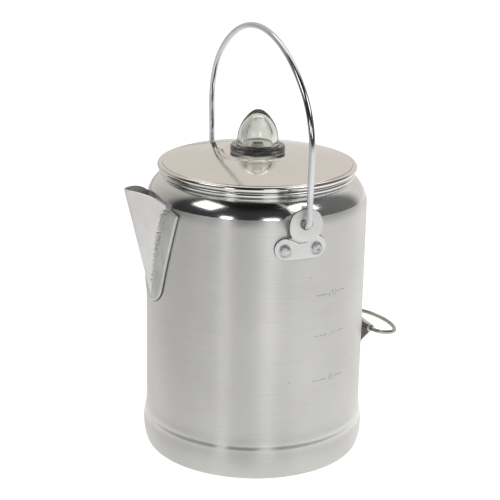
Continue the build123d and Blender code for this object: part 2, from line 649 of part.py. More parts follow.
def spreader_plate():
    """The perforated cover over the basket, a shallow pan hung by its flange."""
    t = SPREADER_SHEET
    pan_inside = SPREADER_PAN_RADIUS - t
    flange_top = SPREADER_FLANGE_Z + t
    hole = HUB_RADIUS + GUIDE_SHEET + STEM_FIT
    corners = (
        (hole, SPREADER_PAN_Z), (SPREADER_PAN_RADIUS, SPREADER_PAN_Z),
        (SPREADER_PAN_RADIUS, SPREADER_FLANGE_Z), (SPREADER_FLANGE_RADIUS, SPREADER_FLANGE_Z),
        (SPREADER_FLANGE_RADIUS, flange_top), (pan_inside, flange_top),
        (pan_inside, SPREADER_PAN_Z + t), (hole, SPREADER_PAN_Z + t),
    )
    plate = lathe(Polyline(*corners, close=True))
    for cutter in perforations(*SPREADER_HOLE_RINGS, SPREADER_HOLE, SPREADER_PAN_Z - OVERRUN, flange_top):
        plate -= cutter
    return plate


def spreader_guide():
    """The eyelet in the middle of the spreader that steers it on the stem."""
    seat = SPREADER_PAN_Z + SPREADER_SHEET
    sleeve = tube(HUB_RADIUS + GUIDE_SHEET, HUB_BORE, SPREADER_PAN_Z, GUIDE_TOP_Z)
    return sleeve + tube(HUB_FLANGE_RADIUS, HUB_BORE, seat, seat + SPREADER_SHEET)


# ---- Assembly ----------------------------------------------------------------------

def build_nodes():
    outer, inner = pot_forms()
    front, rear, loop_side = -90, 90, 0
    ear_holes = [shank_hole(turn, EAR_RIVET_Z) for side in (front, rear) for turn in ear_rivet_turns(side)]
    bracket_holes = [shank_hole(loop_side, height) for height in BRACKET_RIVETS_Z]
    front_ear = ear(outer)
    return {
        "pot_body": pot_body(outer, inner, ear_holes + bracket_holes),
        "spout": spout(outer),
        "front_ear": front_ear,
        "rear_ear": Rot(0, 0, 180) * front_ear,
        "front_ear_rivets": Compound(children=ear_rivets(front)),
        "rear_ear_rivets": Compound(children=ear_rivets(rear)),
        "bail_handle": bail_handle(),
        "loop_bracket": loop_bracket(),
        "loop_bracket_rivets": Compound(children=bracket_rivets()),
        "rear_loop": rear_loop(),
        "lid_shell": lid_shell(),
        "lid_skirt": lid_skirt(),
        "glass_knob": glass_knob(),
        "stem_tube": stem_tube(),
        "pump_foot": pump_foot(),
        "stem_stop_collar": stem_stop_collar(),
        "basket_shell": basket_shell(),
        "basket_hub": basket_hub(),
        "spreader_plate": spreader_plate(),
        "spreader_guide": spreader_guide(),
    }


os.makedirs("parts", exist_ok=True)
for name, node in build_nodes().items():
    export_step(node, f"parts/{name}.step")
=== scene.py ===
from math import asin, atan2, ceil, cos, degrees, pi, radians, sin, sqrt

import bpy
import numpy as np
from mathutils import Matrix, Vector, geometry, noise


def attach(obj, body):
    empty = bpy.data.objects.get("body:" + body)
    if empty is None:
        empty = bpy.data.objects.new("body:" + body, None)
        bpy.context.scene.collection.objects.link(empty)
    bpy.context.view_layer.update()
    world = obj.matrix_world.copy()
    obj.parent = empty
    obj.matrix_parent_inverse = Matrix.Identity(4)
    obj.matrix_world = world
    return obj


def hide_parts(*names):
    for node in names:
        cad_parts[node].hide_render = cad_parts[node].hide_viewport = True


# Camping coffee percolator.  The frame's +Z is up, the spout points along -X, the rear
# loop along +X, and the ears stand on -Y (front) and +Y (rear).  Shapes are drawn in
# millimetres and written to the meshes in metres.

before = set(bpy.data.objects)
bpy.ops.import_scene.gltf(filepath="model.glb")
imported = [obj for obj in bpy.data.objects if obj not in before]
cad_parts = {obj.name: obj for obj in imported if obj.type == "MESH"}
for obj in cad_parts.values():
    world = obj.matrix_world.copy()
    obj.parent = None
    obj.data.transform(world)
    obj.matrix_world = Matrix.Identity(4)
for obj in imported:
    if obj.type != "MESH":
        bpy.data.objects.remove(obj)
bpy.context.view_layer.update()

MM = 0.001

# Pot
WALL_R = 83.0
SHEET = 1.0
FOOT_R = 82.3
BULGE_R, BULGE_Z = 85.3, 14.4
WALL_START_Z = 37.0
WAIST = ((84.62, 23.6), (84.50, 24.3), (84.30, 25.0), (84.02, 25.9), (83.80, 26.7), (83.66, 27.5))
SHOULDER_Z, SHOULDER_ROUND = 192.5, 23.5
NECK_R = 70.8
RIM_BEAD = (71.6, 215.2)
RIM_BEAD_R = 2.0
POLISH_Z = 200.0

# Level marks: height, numeral, and the spans of the two strokes in degrees from -Y to +X
MARKS = ((141.0, "20"), (109.6, "15"), (74.5, "10"))
MARK_SPANS = ((9.5, 17.0), (23.2, 28.7))
NUMERAL_AT = 20.1
NUMERAL_SIZE = (1.1, 2.0)
NUMERAL_PITCH = 3.6
MARK_HALF_WIDTH, NUMERAL_HALF_WIDTH = 0.5, 0.35
MARK_DEPTH, PIT_DEPTH = 0.10, 0.14
STROKE_TINT_REACH, PIT_TINT_REACH = 0.24, 0.45
PITS = ((5.9, 155.5), (20.8, 132.1), (-4.2, 76.6), (18.7, 47.6))

# Strainer holes behind the spout
STRAINER_R = 2.3
STRAINER_PITCH = 8.5
STRAINER_FIRST_Z = 144.0
STRAINER_ROWS = 6
STRAINER_SQUEEZE = 0.8

# Spout
SPOUT_SHEET = 1.2
SPOUT_LOW_Z = 125.0
SPOUT_NOSE_LOW = 84.0
SPOUT_NOSE_RATE = 0.2405
SPOUT_HALF_ANGLE = radians(45.6)
SPOUT_ROUND_RATE = 0.078
FLANGE_LOW_Z, FLANGE_ROUND, FLANGE_LEAN = 121.8, 20.0, radians(16.2)

# Ears
EAR_SHEET = 1.6
EAR_FACE = 91.3
EAR_DISC_Z, EAR_DISC_R = 197.0, 12.7
EAR_EYE_Z, EAR_EYE_R = 199.6, 4.6
EAR_LOBE = (12.0, 179.3)
EAR_LOBE_R = 8.0
EAR_RIVET = (12.0, 178.6)

# Wires
BAIL_WIRE = 2.25
LOOP_WIRE = 1.6
LOOP_PIVOT = (91.5, 84.0)


# ---- Outlines ----------------------------------------------------------------------

def arc(centre, radius, start, end, count):
    """Points on a circle between two angles in degrees."""
    turn = np.radians(np.linspace(start, end, count))
    return np.stack([centre[0] + radius * np.cos(turn), centre[1] + radius * np.sin(turn)], 1)


def tangent_arc(start, heading, end, count):
    """Points on the arc that leaves start along heading and ends at end, and its last heading."""
    start, heading, end = (np.array(item, float) for item in (start, heading, end))
    heading /= np.linalg.norm(heading)
    left = np.array([-heading[1], heading[0]])
    chord = end - start
    side, along = chord @ left, chord @ heading
    centre = start + left * (chord @ chord) / (2 * side)
    turn = 2 * atan2(side, along)
    steps = np.linspace(0, turn, count)
    arm = start - centre
    points = np.stack([centre[0] + arm[0] * np.cos(steps) - arm[1] * np.sin(steps),
                       centre[1] + arm[0] * np.sin(steps) + arm[1] * np.cos(steps)], 1)
    last = np.array([heading[0] * cos(turn) - heading[1] * sin(turn),
                     heading[0] * sin(turn) + heading[1] * cos(turn)])
    return points, last


def crown_start(side_end, heading, haunch, top):
    """Where an arch's haunch, tangent to its side, meets a crown that peaks at top on the axis."""
    centre = np.array(side_end) + np.array([-heading[1], heading[0]]) * haunch
    room = top - haunch
    crown_z = (room ** 2 - centre @ centre) / (2 * (room - centre[1]))
    crown = top - crown_z
    away = np.array([centre[0], centre[1] - crown_z])
    swap = 1 if crown > haunch else -1
    away *= swap * crown / np.linalg.norm(away)
    return (away[0], crown_z + away[1])


def joined(*runs):
    """Runs of points end to end, without repeats where they meet."""
    points = np.vstack([np.atleast_2d(run) for run in runs])
    keep = [0]
    for index in range(1, len(points)):
        if np.linalg.norm(points[index] - points[keep[-1]]) > 1e-4:
            keep.append(index)
    return points[keep]


def moved_in(points, distance):
    """An open outline shifted to its left by a distance."""
    run = np.gradient(points, axis=0)
    run /= np.linalg.norm(run, axis=1)[:, None]
    return points + np.stack([-run[:, 1], run[:, 0]], 1) * distance


def smooth(value, low, high):
    """0 below low, 1 above high, and a smooth step between."""
    share = np.clip((value - low) / (high - low), 0, 1)
    return share * share * (3 - 2 * share)


def soft_max(a, b, width):
    """The larger of two surfaces, with a fillet of about that width where they meet."""
    blend = np.clip(0.5 + (a - b) / (2 * width), 0, 1)
    return b + (a - b) * blend + width * blend * (1 - blend)


# ---- Meshes ------------------------------------------------------------------------

def shape(points, faces):
    return np.asarray(points, float), [tuple(int(i) for i in face) for face in faces]


def merged(*shapes):
    """Several shapes as one."""
    points, faces, base = [], [], 0
    for some_points, some_faces in shapes:
        points.append(some_points)
        faces += [tuple(i + base for i in face) for face in some_faces]
        base += len(some_points)
    return np.vstack(points), faces


def lathe(outline, turns=None, closed=False):
    """An outline of (radius, height) turned about Z, through the given azimuths in degrees."""
    turns = np.arange(0, 360, 2.5) if turns is None else turns
    angle = np.radians(turns)
    count = len(turns)
    points, rows = [], []
    for radius, height in outline:
        if radius < 1e-6:
            rows.append([len(points)] * count)
            points.append((0, 0, height))
        else:
            rows.append(list(range(len(points), len(points) + count)))
            points += zip(radius * np.sin(angle), -radius * np.cos(angle), np.full(count, height))
    pairs = list(zip(rows, rows[1:])) + ([(rows[-1], rows[0])] if closed else [])
    faces = []
    for low, high in pairs:
        for here in range(count):
            there = (here + 1) % count
            ring = [low[here], low[there], high[there], high[here]]
            face = [v for i, v in enumerate(ring) if v != ring[i - 1]]
            if len(face) > 2:
                faces.append(face)
    return shape(points, faces)


def sweep(path, radius, sides=28, closed=False, cap=0.45):
    """A round wire along a path, with softly rounded ends where it is open."""
    path = np.asarray(path, float)
    if closed:
        run = np.roll(path, -1, 0) - np.roll(path, 1, 0)
    else:
        run = np.gradient(path, axis=0)
    run /= np.linalg.norm(run, axis=1)[:, None]
    centres, runs, radii = list(path), list(run), [radius] * len(path)
    if not closed:
        for share in (0.35, 0.7, 0.92):
            drop = cap * (1 - share)
            size = radius - cap * (1 - sqrt(1 - (share * 0.98) ** 2))
            centres.insert(0, path[0] - run[0] * (cap - drop))
            centres.append(path[-1] + run[-1] * (cap - drop))
            runs.insert(0, run[0])
            runs.append(run[-1])
            radii.insert(0, size)
            radii.append(size)
    side = np.cross(runs[0], (0.31, 0.17, 0.93))
    rows, points = [], []
    for centre, along, size in zip(centres, runs, radii):
        side = side - along * (side @ along)
        side /= np.linalg.norm(side)
        other = np.cross(along, side)
        rows.append(range(len(points), len(points) + sides))
        for k in range(sides):
            turn = 2 * pi * k / sides
            points.append(centre + size * (side * cos(turn) + other * sin(turn)))
    faces = []
    pairs = list(zip(rows, rows[1:])) + ([(rows[-1], rows[0])] if closed else [])
    for low, high in pairs:
        faces += [(low[k], low[(k + 1) % sides], high[(k + 1) % sides], high[k])
                  for k in range(sides)]
    if not closed:
        faces += [tuple(reversed(rows[0])), tuple(rows[-1])]
    return shape(points, faces)


def edge_distance(spots, loops):
    """Distance of each flat point from the nearest edge of the loops."""
    best = np.full(len(spots), 1e9)
    for loop in loops:
        for start, end in zip(loop, np.roll(loop, -1, 0)):
            run = end - start
            share = np.clip((spots - start) @ run / max(run @ run, 1e-12), 0, 1)
            best = np.minimum(best, np.linalg.norm(spots - start - share[:, None] * run, axis=1))
    return best


def inside(spots, loop):
    """Whether each flat point lies in the loop."""
    found = np.zeros(len(spots), bool)
    for (ax, ay), (bx, by) in zip(loop, np.roll(loop, -1, 0)):
        crosses = (ay > spots[:, 1]) != (by > spots[:, 1])
        at = ax + (spots[:, 1] - ay) * (bx - ax) / (by - ay if by != ay else 1e-12)
        found ^= crosses & (spots[:, 0] < at)
    return found


def plate(loops, spacing, front, back, edge=0.35):
    """A sheet over the flat outline loops[0] with holes loops[1:], between two surfaces.
    front and back map flat points to space, and the front's edges are rounded over."""
    loops = [np.asarray(loop, float) for loop in loops]
    spots, edges = [], []
    for loop in loops:
        base = len(spots)
        spots += list(loop)
        edges += [(base + i, base + (i + 1) % len(loop)) for i in range(len(loop))]
    low, high = loops[0].min(0), loops[0].max(0)
    grid_u, grid_v = np.meshgrid(np.arange(low[0], high[0], spacing), np.arange(low[1], high[1], spacing))
    grid = np.stack([grid_u.ravel(), grid_v.ravel()], 1)
    keep = inside(grid, loops[0])
    for hole in loops[1:]:
        keep &= ~inside(grid, hole)
    grid = grid[keep]
    grid = grid[edge_distance(grid, loops) > edge + 0.3 * spacing]
    rings = []
    for index, loop in enumerate(loops):
        run = np.roll(loop, -1, 0) - np.roll(loop, 1, 0)
        run /= np.linalg.norm(run, axis=1)[:, None]
        across = np.stack([-run[:, 1], run[:, 0]], 1)
        middle = loop + across * 1e-3
        if inside(middle, loops[0]).mean() < 0.5 or (index and inside(middle, loop).mean() > 0.5):
            across = -across
        for depth in (0.3 * edge, edge):
            ring = loop + across * depth
            rings.append(ring[edge_distance(ring, loops) > 0.9 * depth])
    spots += list(np.vstack(rings)) + list(grid)
    flat, _, triangles, *_ = geometry.delaunay_2d_cdt([Vector(s) for s in spots], edges, [], 1, 1e-5)
    flat = np.array([tuple(v) for v in flat])
    triangles = np.array([tuple(t) for t in triangles])
    middles = flat[triangles].mean(1)
    keep = inside(middles, loops[0])
    for hole in loops[1:]:
        keep &= ~inside(middles, hole)
    triangles = triangles[keep]
    used = np.unique(triangles)
    renumber = np.full(len(flat), -1)
    renumber[used] = np.arange(len(used))
    flat, triangles = flat[used], renumber[triangles]
    depth = edge_distance(flat, loops)
    inset = edge - np.sqrt(np.clip(edge ** 2 - np.clip(edge - depth, 0, edge) ** 2, 0, None))
    top, bottom = front(flat), back(flat)
    through = bottom - top
    through /= np.linalg.norm(through, axis=1)[:, None]
    top = top + through * inset[:, None]
    count = len(flat)
    counted = {}
    for a, b, c in triangles:
        for pair in ((a, b), (b, c), (c, a)):
            key = tuple(sorted(pair))
            counted[key] = None if key in counted else pair
    rims = [pair for pair in counted.values() if pair]
    faces = [tuple(t) for t in triangles] + [tuple(t[::-1] + count) for t in triangles]
    faces += [(b, a, a + count, b + count) for a, b in rims]
    return shape(np.vstack([top, bottom]), faces)


def facing_out(points, faces):
    """The shape with its faces turned so that they point out of the solid."""
    fans = np.array([(face[0], a, b) for face in faces for a, b in zip(face[1:], face[2:])])
    first, second, third = points[fans[:, 0]], points[fans[:, 1]], points[fans[:, 2]]
    volume = (first * np.cross(second, third)).sum()
    return faces if volume > 0 else [face[::-1] for face in faces]


def piece(name, made, materials, body, replaces=(), crease=38, pick=None):
    """A finished piece of the object: smooth shaded up to the crease angle, riding on a body."""
    points, faces = made
    faces = facing_out(points, faces)
    mesh = bpy.data.meshes.new(name)
    mesh.from_pydata((points * MM).tolist(), [], faces)
    mesh.validate()
    for material in materials:
        mesh.materials.append(material)
    mesh.polygons.foreach_set("use_smooth", [True] * len(mesh.polygons))
    if pick is not None:
        centres = np.zeros(len(mesh.polygons) * 3)
        mesh.polygons.foreach_get("center", centres)
        finish = pick(centres.reshape(-1, 3) / MM).astype(int)
        mesh.polygons.foreach_set("material_index", finish.tolist())
    mesh.set_sharp_from_angle(angle=radians(crease))
    made_object = bpy.data.objects.new(name, mesh)
    bpy.context.scene.collection.objects.link(made_object)
    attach(made_object, body)
    if replaces:
        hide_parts(*replaces)
    return made_object


def turned(made, degrees_about_z):
    """A shape turned about the pot's axis."""
    points, faces = made
    turn = radians(degrees_about_z)
    matrix = np.array([[cos(turn), -sin(turn), 0], [sin(turn), cos(turn), 0], [0, 0, 1]])
    return points @ matrix.T, faces


# ---- Materials ---------------------------------------------------------------------

def node(tree, kind, inputs=None, **settings):
    made = tree.nodes.new("ShaderNode" + kind)
    for key, value in settings.items():
        setattr(made, key, value)
    for key, value in (inputs or {}).items():
        if isinstance(value, bpy.types.NodeSocket):
            tree.links.new(value, made.inputs[key])
        else:
            made.inputs[key].default_value = value
    return made


def spread(tree, value, low, high):
    """A 0 to 1 value mapped to a range."""
    return node(tree, "MapRange", {"Value": value, "To Min": low, "To Max": high}).outputs["Result"]


def tint(tree, factor, dark, light):
    """A colour between two, by a 0 to 1 factor."""
    made = node(tree, "Mix", {0: factor}, data_type="RGBA")
    made.inputs[6].default_value = (*dark, 1)
    made.inputs[7].default_value = (*light, 1)
    return made.outputs[2]


def metal(name, dark, light, rough, streaks, grain=None, bump=0.1, depth=0.00005, turn=0.0,
          speckle=0.0, patches=18.0, calm=None):
    """A metal whose colour varies between two tints and whose roughness between two values.
    streaks is the scale of its fine marks along X, Y and Z, per metre, or "rings" for a spun face.
    calm is the height and reach, in metres, of a band where it is smoother."""
    made = bpy.data.materials.new(name)
    made.use_nodes = True
    tree = made.node_tree
    shader = tree.nodes["Principled BSDF"]
    shader.inputs["Metallic"].default_value = 1.0
    where = node(tree, "TexCoord").outputs["Object"]
    if streaks == "rings":
        flat = node(tree, "VectorMath", {0: where, 1: (1, 1, 0)}, operation="MULTIPLY").outputs[0]
        radius = node(tree, "VectorMath", {0: flat}, operation="LENGTH").outputs["Value"]
        fine = node(tree, "TexNoise", {"W": radius, "Scale": 900.0, "Detail": 5.0, "Roughness": 0.7},
                    noise_dimensions="1D").outputs["Fac"]
    else:
        along = node(tree, "VectorMath", {0: where, 1: streaks}, operation="MULTIPLY").outputs[0]
        fine = node(tree, "TexNoise", {"Vector": along, "Scale": 1.0, "Detail": 5.0, "Roughness": 0.62},
                    noise_dimensions="3D").outputs["Fac"]
    broad = node(tree, "TexNoise", {"Vector": where, "Scale": patches, "Detail": 3.0}).outputs["Fac"]
    mixed = node(tree, "Math", {0: fine, 1: broad}, operation="ADD").outputs[0]
    even = node(tree, "MapRange", {"Value": mixed, "From Min": 0.75, "From Max": 1.25}).outputs["Result"]
    colour = tint(tree, even, dark, light)
    height = fine
    if speckle:
        spots = node(tree, "TexNoise", {"Vector": where, "Scale": 420.0, "Detail": 2.0}).outputs["Fac"]
        pits = node(tree, "MapRange",
                    {"Value": spots, "From Min": 0.62, "From Max": 0.72}).outputs["Result"]
        share = node(tree, "Math", {0: pits, 1: speckle}, operation="MULTIPLY").outputs[0]
        colour = node(tree, "Mix", {0: share, 6: colour, 7: tuple(c * 0.45 for c in dark) + (1,)},
                      data_type="RGBA").outputs[2]
    if grain:
        rougher = node(tree, "TexNoise", {"Vector": where, "Scale": grain, "Detail": 4.0}).outputs["Fac"]
        height = node(tree, "Math", {0: fine, 1: rougher}, operation="ADD").outputs[0]
    tree.links.new(colour, shader.inputs["Base Color"])
    dull = spread(tree, fine, *rough)
    if calm:
        height_there = node(tree, "SeparateXYZ", {0: where}).outputs["Z"]
        offset = node(tree, "Math", {0: height_there, 1: -calm[0]}, operation="ADD").outputs[0]
        away = node(tree, "Math", {0: offset}, operation="ABSOLUTE").outputs[0]
        share = node(tree, "MapRange", {"Value": away, "From Min": 0.3 * calm[1], "From Max": calm[1],
                                        "To Min": 0.62, "To Max": 1.0}).outputs["Result"]
        dull = node(tree, "Math", {0: dull, 1: share}, operation="MULTIPLY").outputs[0]
    tree.links.new(dull, shader.inputs["Roughness"])
    relief = node(tree, "Bump", {"Strength": bump, "Distance": depth, "Height": height})
    tree.links.new(relief.outputs["Normal"], shader.inputs["Normal"])
    if turn:
        shader.inputs["Anisotropic"].default_value = turn
        shader.inputs["Anisotropic Rotation"].default_value = 0.25
        around = node(tree, "Tangent", direction_type="RADIAL", axis="Z")
        tree.links.new(around.outputs["Tangent"], shader.inputs["Tangent"])
    return made


def glass(name):
    made = bpy.data.materials.new(name)
    made.use_nodes = True
    tree = made.node_tree
    shader = tree.nodes["Principled BSDF"]
    shader.inputs["Transmission Weight"].default_value = 1.0
    shader.inputs["IOR"].default_value = 1.5
    where = node(tree, "TexCoord").outputs["Object"]
    waves = node(tree, "TexNoise", {"Vector": where, "Scale": 120.0, "Detail": 2.0}).outputs["Fac"]
    fine = node(tree, "TexNoise", {"Vector": where, "Scale": 900.0, "Detail": 1.0}).outputs["Fac"]
    tree.links.new(tint(tree, waves, (0.86, 0.87, 0.83), (0.95, 0.955, 0.92)), shader.inputs["Base Color"])
    height = node(tree, "SeparateXYZ", {0: where}).outputs["Z"]
    moulded = node(tree, "MapRange", {"Value": height, "From Min": 0.2350, "From Max": 0.2366,
                                      "To Min": 0.26, "To Max": 0.0}).outputs["Result"]
    haze = node(tree, "Math", {0: spread(tree, fine, 0.0, 0.035), 1: moulded}, operation="ADD").outputs[0]
    tree.links.new(haze, shader.inputs["Roughness"])
    relief = node(tree, "Bump", {"Strength": 0.25, "Distance": 0.0004, "Height": waves})
    tree.links.new(relief.outputs["Normal"], shader.inputs["Normal"])
    return made


brushed = metal("brushed_aluminium", (0.77, 0.765, 0.735), (0.87, 0.865, 0.84), (0.37, 0.43),
                (28.0, 28.0, 2100.0), bump=0.16, depth=0.00002, turn=0.9, calm=(0.0256, 0.005))
stamped = metal("stamped_aluminium", (0.30, 0.30, 0.29), (0.52, 0.52, 0.50), (0.4, 0.55),
                (300.0, 300.0, 900.0), bump=0.3, depth=0.00005)
polished = metal("polished_aluminium", (0.80, 0.80, 0.785), (0.90, 0.90, 0.885), (0.09, 0.20),
                 (5.0, 5.0, 1100.0), bump=0.55, depth=0.00006, turn=0.35)
lid_metal = metal("lid_aluminium", (0.83, 0.79, 0.75), (0.90, 0.87, 0.83), (0.07, 0.14),
                  "rings", bump=0.06, depth=0.00002)
satin = metal("satin_aluminium", (0.80, 0.79, 0.78), (0.92, 0.91, 0.90), (0.34, 0.5),
              (120.0, 120.0, 60.0), grain=260.0, bump=0.35, depth=0.0001, patches=40.0)
welded = metal("welded_aluminium", (0.42, 0.43, 0.43), (0.72, 0.72, 0.71), (0.38, 0.6),
               (500.0, 500.0, 700.0), grain=900.0, bump=0.7, depth=0.00025, speckle=0.8, patches=120.0)
matte = metal("matte_aluminium", (0.80, 0.795, 0.78), (0.92, 0.915, 0.90), (0.44, 0.6),
              (90.0, 90.0, 90.0), grain=500.0, bump=0.25, depth=0.0001)
rivet_metal = metal("rivet_aluminium", (0.52, 0.55, 0.56), (0.72, 0.74, 0.75), (0.25, 0.45),
                    (200.0, 200.0, 200.0), grain=600.0, bump=0.35, depth=0.00015)
chrome = metal("chrome_wire", (0.62, 0.63, 0.65), (0.78, 0.79, 0.81), (0.08, 0.18),
               (120.0, 90.0, 60.0), bump=0.1, depth=0.00005)
plated = metal("plated_wire", (0.40, 0.40, 0.35), (0.60, 0.60, 0.53), (0.2, 0.36),
               (140.0, 140.0, 140.0), grain=500.0, bump=0.2, depth=0.00008)
plain = metal("plain_aluminium", (0.70, 0.70, 0.69), (0.84, 0.84, 0.83), (0.3, 0.46),
              (30.0, 30.0, 700.0), bump=0.2, depth=0.00005, turn=0.5)
# A darker copy of the satin sheet for the spout's flange: its darker tone is painted shade.
flange_painted_shade = metal("flange_painted_shade_aluminium", (0.58, 0.58, 0.57), (0.76, 0.76, 0.745), (0.36, 0.5),
                     (160.0, 160.0, 45.0), grain=320.0, bump=0.35, depth=0.0001, patches=60.0)
# A darker copy of the satin sheet for the inside of the spout: painted shade.
throat_painted_shade = metal("throat_painted_shade_aluminium", (0.42, 0.42, 0.415), (0.62, 0.62, 0.61), (0.36, 0.5),
               (160.0, 160.0, 90.0), grain=320.0, bump=0.35, depth=0.0001, patches=60.0)
# Near-black metal that paints shadow: a line along the spout flange's cut edge, the ears' cut edges and a
# line at the foot of each ear's step.
painted_shadow = metal("painted_shadow_aluminium", (0.07, 0.07, 0.07), (0.20, 0.20, 0.20), (0.45, 0.65),
             (300.0, 300.0, 300.0), grain=700.0, bump=0.3, depth=0.0001)
clear = glass("clear_glass")


# ---- Pot ---------------------------------------------------------------------------

SEGMENTS = {"a": ((-1, 1), (1, 1)), "b": ((1, 1), (1, 0)), "c": ((1, 0), (1, -1)),
            "d": ((-1, -1), (1, -1)), "e": ((-1, 0), (-1, -1)), "f": ((-1, 1), (-1, 0)),
            "g": ((-1, 0), (1, 0))}
NUMERALS = {"0": "abcdef", "1": "bc", "2": "abdeg", "5": "acdfg"}


def stamped_strokes():
    """The level marks' strokes as start and end in (arc length, height)."""
    strokes = []
    per_degree = WALL_R * pi / 180
    for height, numeral in MARKS:
        for start, end in MARK_SPANS:
            strokes.append(((start * per_degree, height), (end * per_degree, height), MARK_HALF_WIDTH))
        wide, tall = NUMERAL_SIZE
        for place, digit in enumerate(numeral):
            middle = NUMERAL_AT * per_degree + (place - 0.5) * NUMERAL_PITCH
            for key in NUMERALS[digit]:
                (ax, az), (bx, bz) = SEGMENTS[key]
                start = (middle + ax * wide, height + az * tall)
                end = (middle + bx * wide, height + bz * tall)
                strokes.append((start, end, NUMERAL_HALF_WIDTH))
    return strokes


def strainer_centres():
    """Centres of the strainer holes as (azimuth in degrees from -Y to +X, height)."""
    centres = []
    for row in range(STRAINER_ROWS):
        for place in range(row + 1):
            across = (place - row / 2) * STRAINER_PITCH * STRAINER_SQUEEZE
            turn = -90 + degrees(asin(across / WALL_R))
            centres.append((turn, STRAINER_FIRST_Z + row * STRAINER_PITCH))
    return centres


def pot_outlines():
    """The pot's outside from the middle of its floor to its rim, and the rows of its inside."""
    low_round = (BULGE_R - FOOT_R) / 2 + BULGE_Z ** 2 / (2 * (BULGE_R - FOOT_R))
    bulge_centre = (BULGE_R - low_round, BULGE_Z)
    foot_angle = -degrees(asin((BULGE_Z - 1.83) / low_round))
    low_bulge = arc(bulge_centre, low_round, foot_angle, 0, 16)
    foot, _ = tangent_arc((80.33, 0), (1, 0), low_bulge[0], 7)
    floor = [(radius, 0) for radius in (0, 15, 30, 45, 60, 70, 76)]
    high_bulge, _ = tangent_arc((BULGE_R, BULGE_Z), (0, 1), WAIST[0], 12)
    hollow = tangent_arc((WALL_R, WALL_START_Z), (0, -1), WAIST[-1], 12)[0][::-1]
    coarse = list(np.linspace(WALL_START_Z, SHOULDER_Z, 40))
    marks = [height + step for height, _ in MARKS for step in np.arange(-2.7, 2.8, 0.3)]
    marks += [height + step for _, height in PITS for step in np.arange(-0.9, 1.0, 0.3)]
    holes = list(np.arange(140.5, 190.5, 1.0))
    heights = {"outside": np.unique(np.round(coarse + marks + holes, 3)),
               "inside": np.unique(np.round(coarse + holes, 3))}
    sweep_end = degrees(asin(sqrt(1 - ((NECK_R - WALL_R + SHOULDER_ROUND) / SHOULDER_ROUND) ** 2)))
    polish = degrees(asin((POLISH_Z - SHOULDER_Z) / SHOULDER_ROUND))
    centre = (WALL_R - SHOULDER_ROUND, SHOULDER_Z)
    outlines = {}
    for side, rows in heights.items():
        wall = [(WALL_R, height) for height in rows]
        shoulder = joined(arc(centre, SHOULDER_ROUND, 0, polish, 10),
                          arc(centre, SHOULDER_ROUND, polish, sweep_end, 22))
        outlines[side] = joined(floor, foot, low_bulge, high_bulge, WAIST, hollow, wall, shoulder)
    inner = moved_in(outlines["inside"], SHEET)
    inner[0][0] = 0
    bead = arc(RIM_BEAD, RIM_BEAD_R, -113.6, 206, 26)
    return outlines["outside"], bead, inner[::-1]


def pot_shape():
    outside, bead, inner = pot_outlines()
    turns = np.unique(np.round(np.concatenate([
        np.arange(-180, 180, 2.5), np.arange(-5.1, -3.2, 0.3), np.arange(5.0, 6.9, 0.3),
        np.arange(8.5, 30, 0.3), np.arange(-104.4, -75.5, 0.6)]), 3))
    outline = joined(outside, bead, inner)
    points, faces = lathe(outline, turns)
    radius = np.hypot(points[:, 0], points[:, 1])
    azimuth = np.degrees(np.arctan2(points[:, 0], -points[:, 1]))
    flat = np.stack([azimuth * WALL_R * pi / 180, points[:, 2]], 1)
    outer = radius > WALL_R - 0.5 * SHEET
    depth = np.zeros(len(points))
    for start, end, half in stamped_strokes():
        start, end = np.array(start), np.array(end)
        run = end - start
        share = np.clip((flat - start) @ run / (run @ run), 0, 1)
        away = np.linalg.norm(flat - start - share[:, None] * run, axis=1)
        depth = np.maximum(depth, MARK_DEPTH * (1 - smooth(away, 0.1, half + 0.25)))
    for turn, height in PITS:
        away = np.linalg.norm(flat - (turn * WALL_R * pi / 180, height), axis=1)
        depth = np.maximum(depth, PIT_DEPTH * (1 - smooth(away, 0.1, 0.8)))
    scale = np.where(outer, 1 - depth / np.maximum(radius, 1), 1)
    points[:, :2] *= scale[:, None]
    return points, faces, azimuth, radius


def punched(points, faces, azimuth, radius):
    """The pot with the strainer holes cut through its wall and their edges closed."""
    centres = [(turn * WALL_R * pi / 180, height) for turn, height in strainer_centres()]
    flat = np.stack([azimuth * WALL_R * pi / 180, points[:, 2]], 1)
    near = (np.abs(azimuth + 90) < 16) & (points[:, 2] > 138) & (points[:, 2] < 192)
    middle = np.array([flat[list(face)].mean(0) if near[list(face)].all() else (1e6, 1e6)
                       for face in faces])
    gone = np.zeros(len(faces), bool)
    for centre in centres:
        gone |= np.linalg.norm(middle - centre, axis=1) < STRAINER_R
    kept = [face for face, out in zip(faces, gone) if not out]
    cut = [face for face, out in zip(faces, gone) if out]
    kept_ids = {i for face in kept for i in face}
    border = sorted({i for face in cut for i in face} & kept_ids)
    for i in border:
        centre = min(centres, key=lambda c: np.hypot(*(flat[i] - c)))
        away = flat[i] - centre
        flat[i] = np.array(centre) + away * STRAINER_R / np.linalg.norm(away)
        turn = flat[i][0] / WALL_R
        points[i] = (radius[i] * sin(turn), -radius[i] * cos(turn), flat[i][1])
    place = {}
    for i in border:
        side = "out" if radius[i] > WALL_R - 0.5 * SHEET else "in"
        place.setdefault(side, {})[tuple(np.round(flat[i], 2))] = i
    match = {}
    for key, i in place["out"].items():
        match[i] = min(place["in"].items(),
                       key=lambda item: np.hypot(item[0][0] - key[0], item[0][1] - key[1]))[1]
    seen = {}
    for face in cut:
        for a, b in zip(face, face[1:] + face[:1]):
            seen[(a, b)] = True
    for a, b in seen:
        if (b, a) not in seen and a in match and b in match:
            kept.append((a, b, match[b], match[a]))
    return points, kept


pot = punched(*pot_shape())
used = sorted({i for face in pot[1] for i in face})
renumber = {old: new for new, old in enumerate(used)}
pot = pot[0][used], [tuple(renumber[i] for i in face) for face in pot[1]]


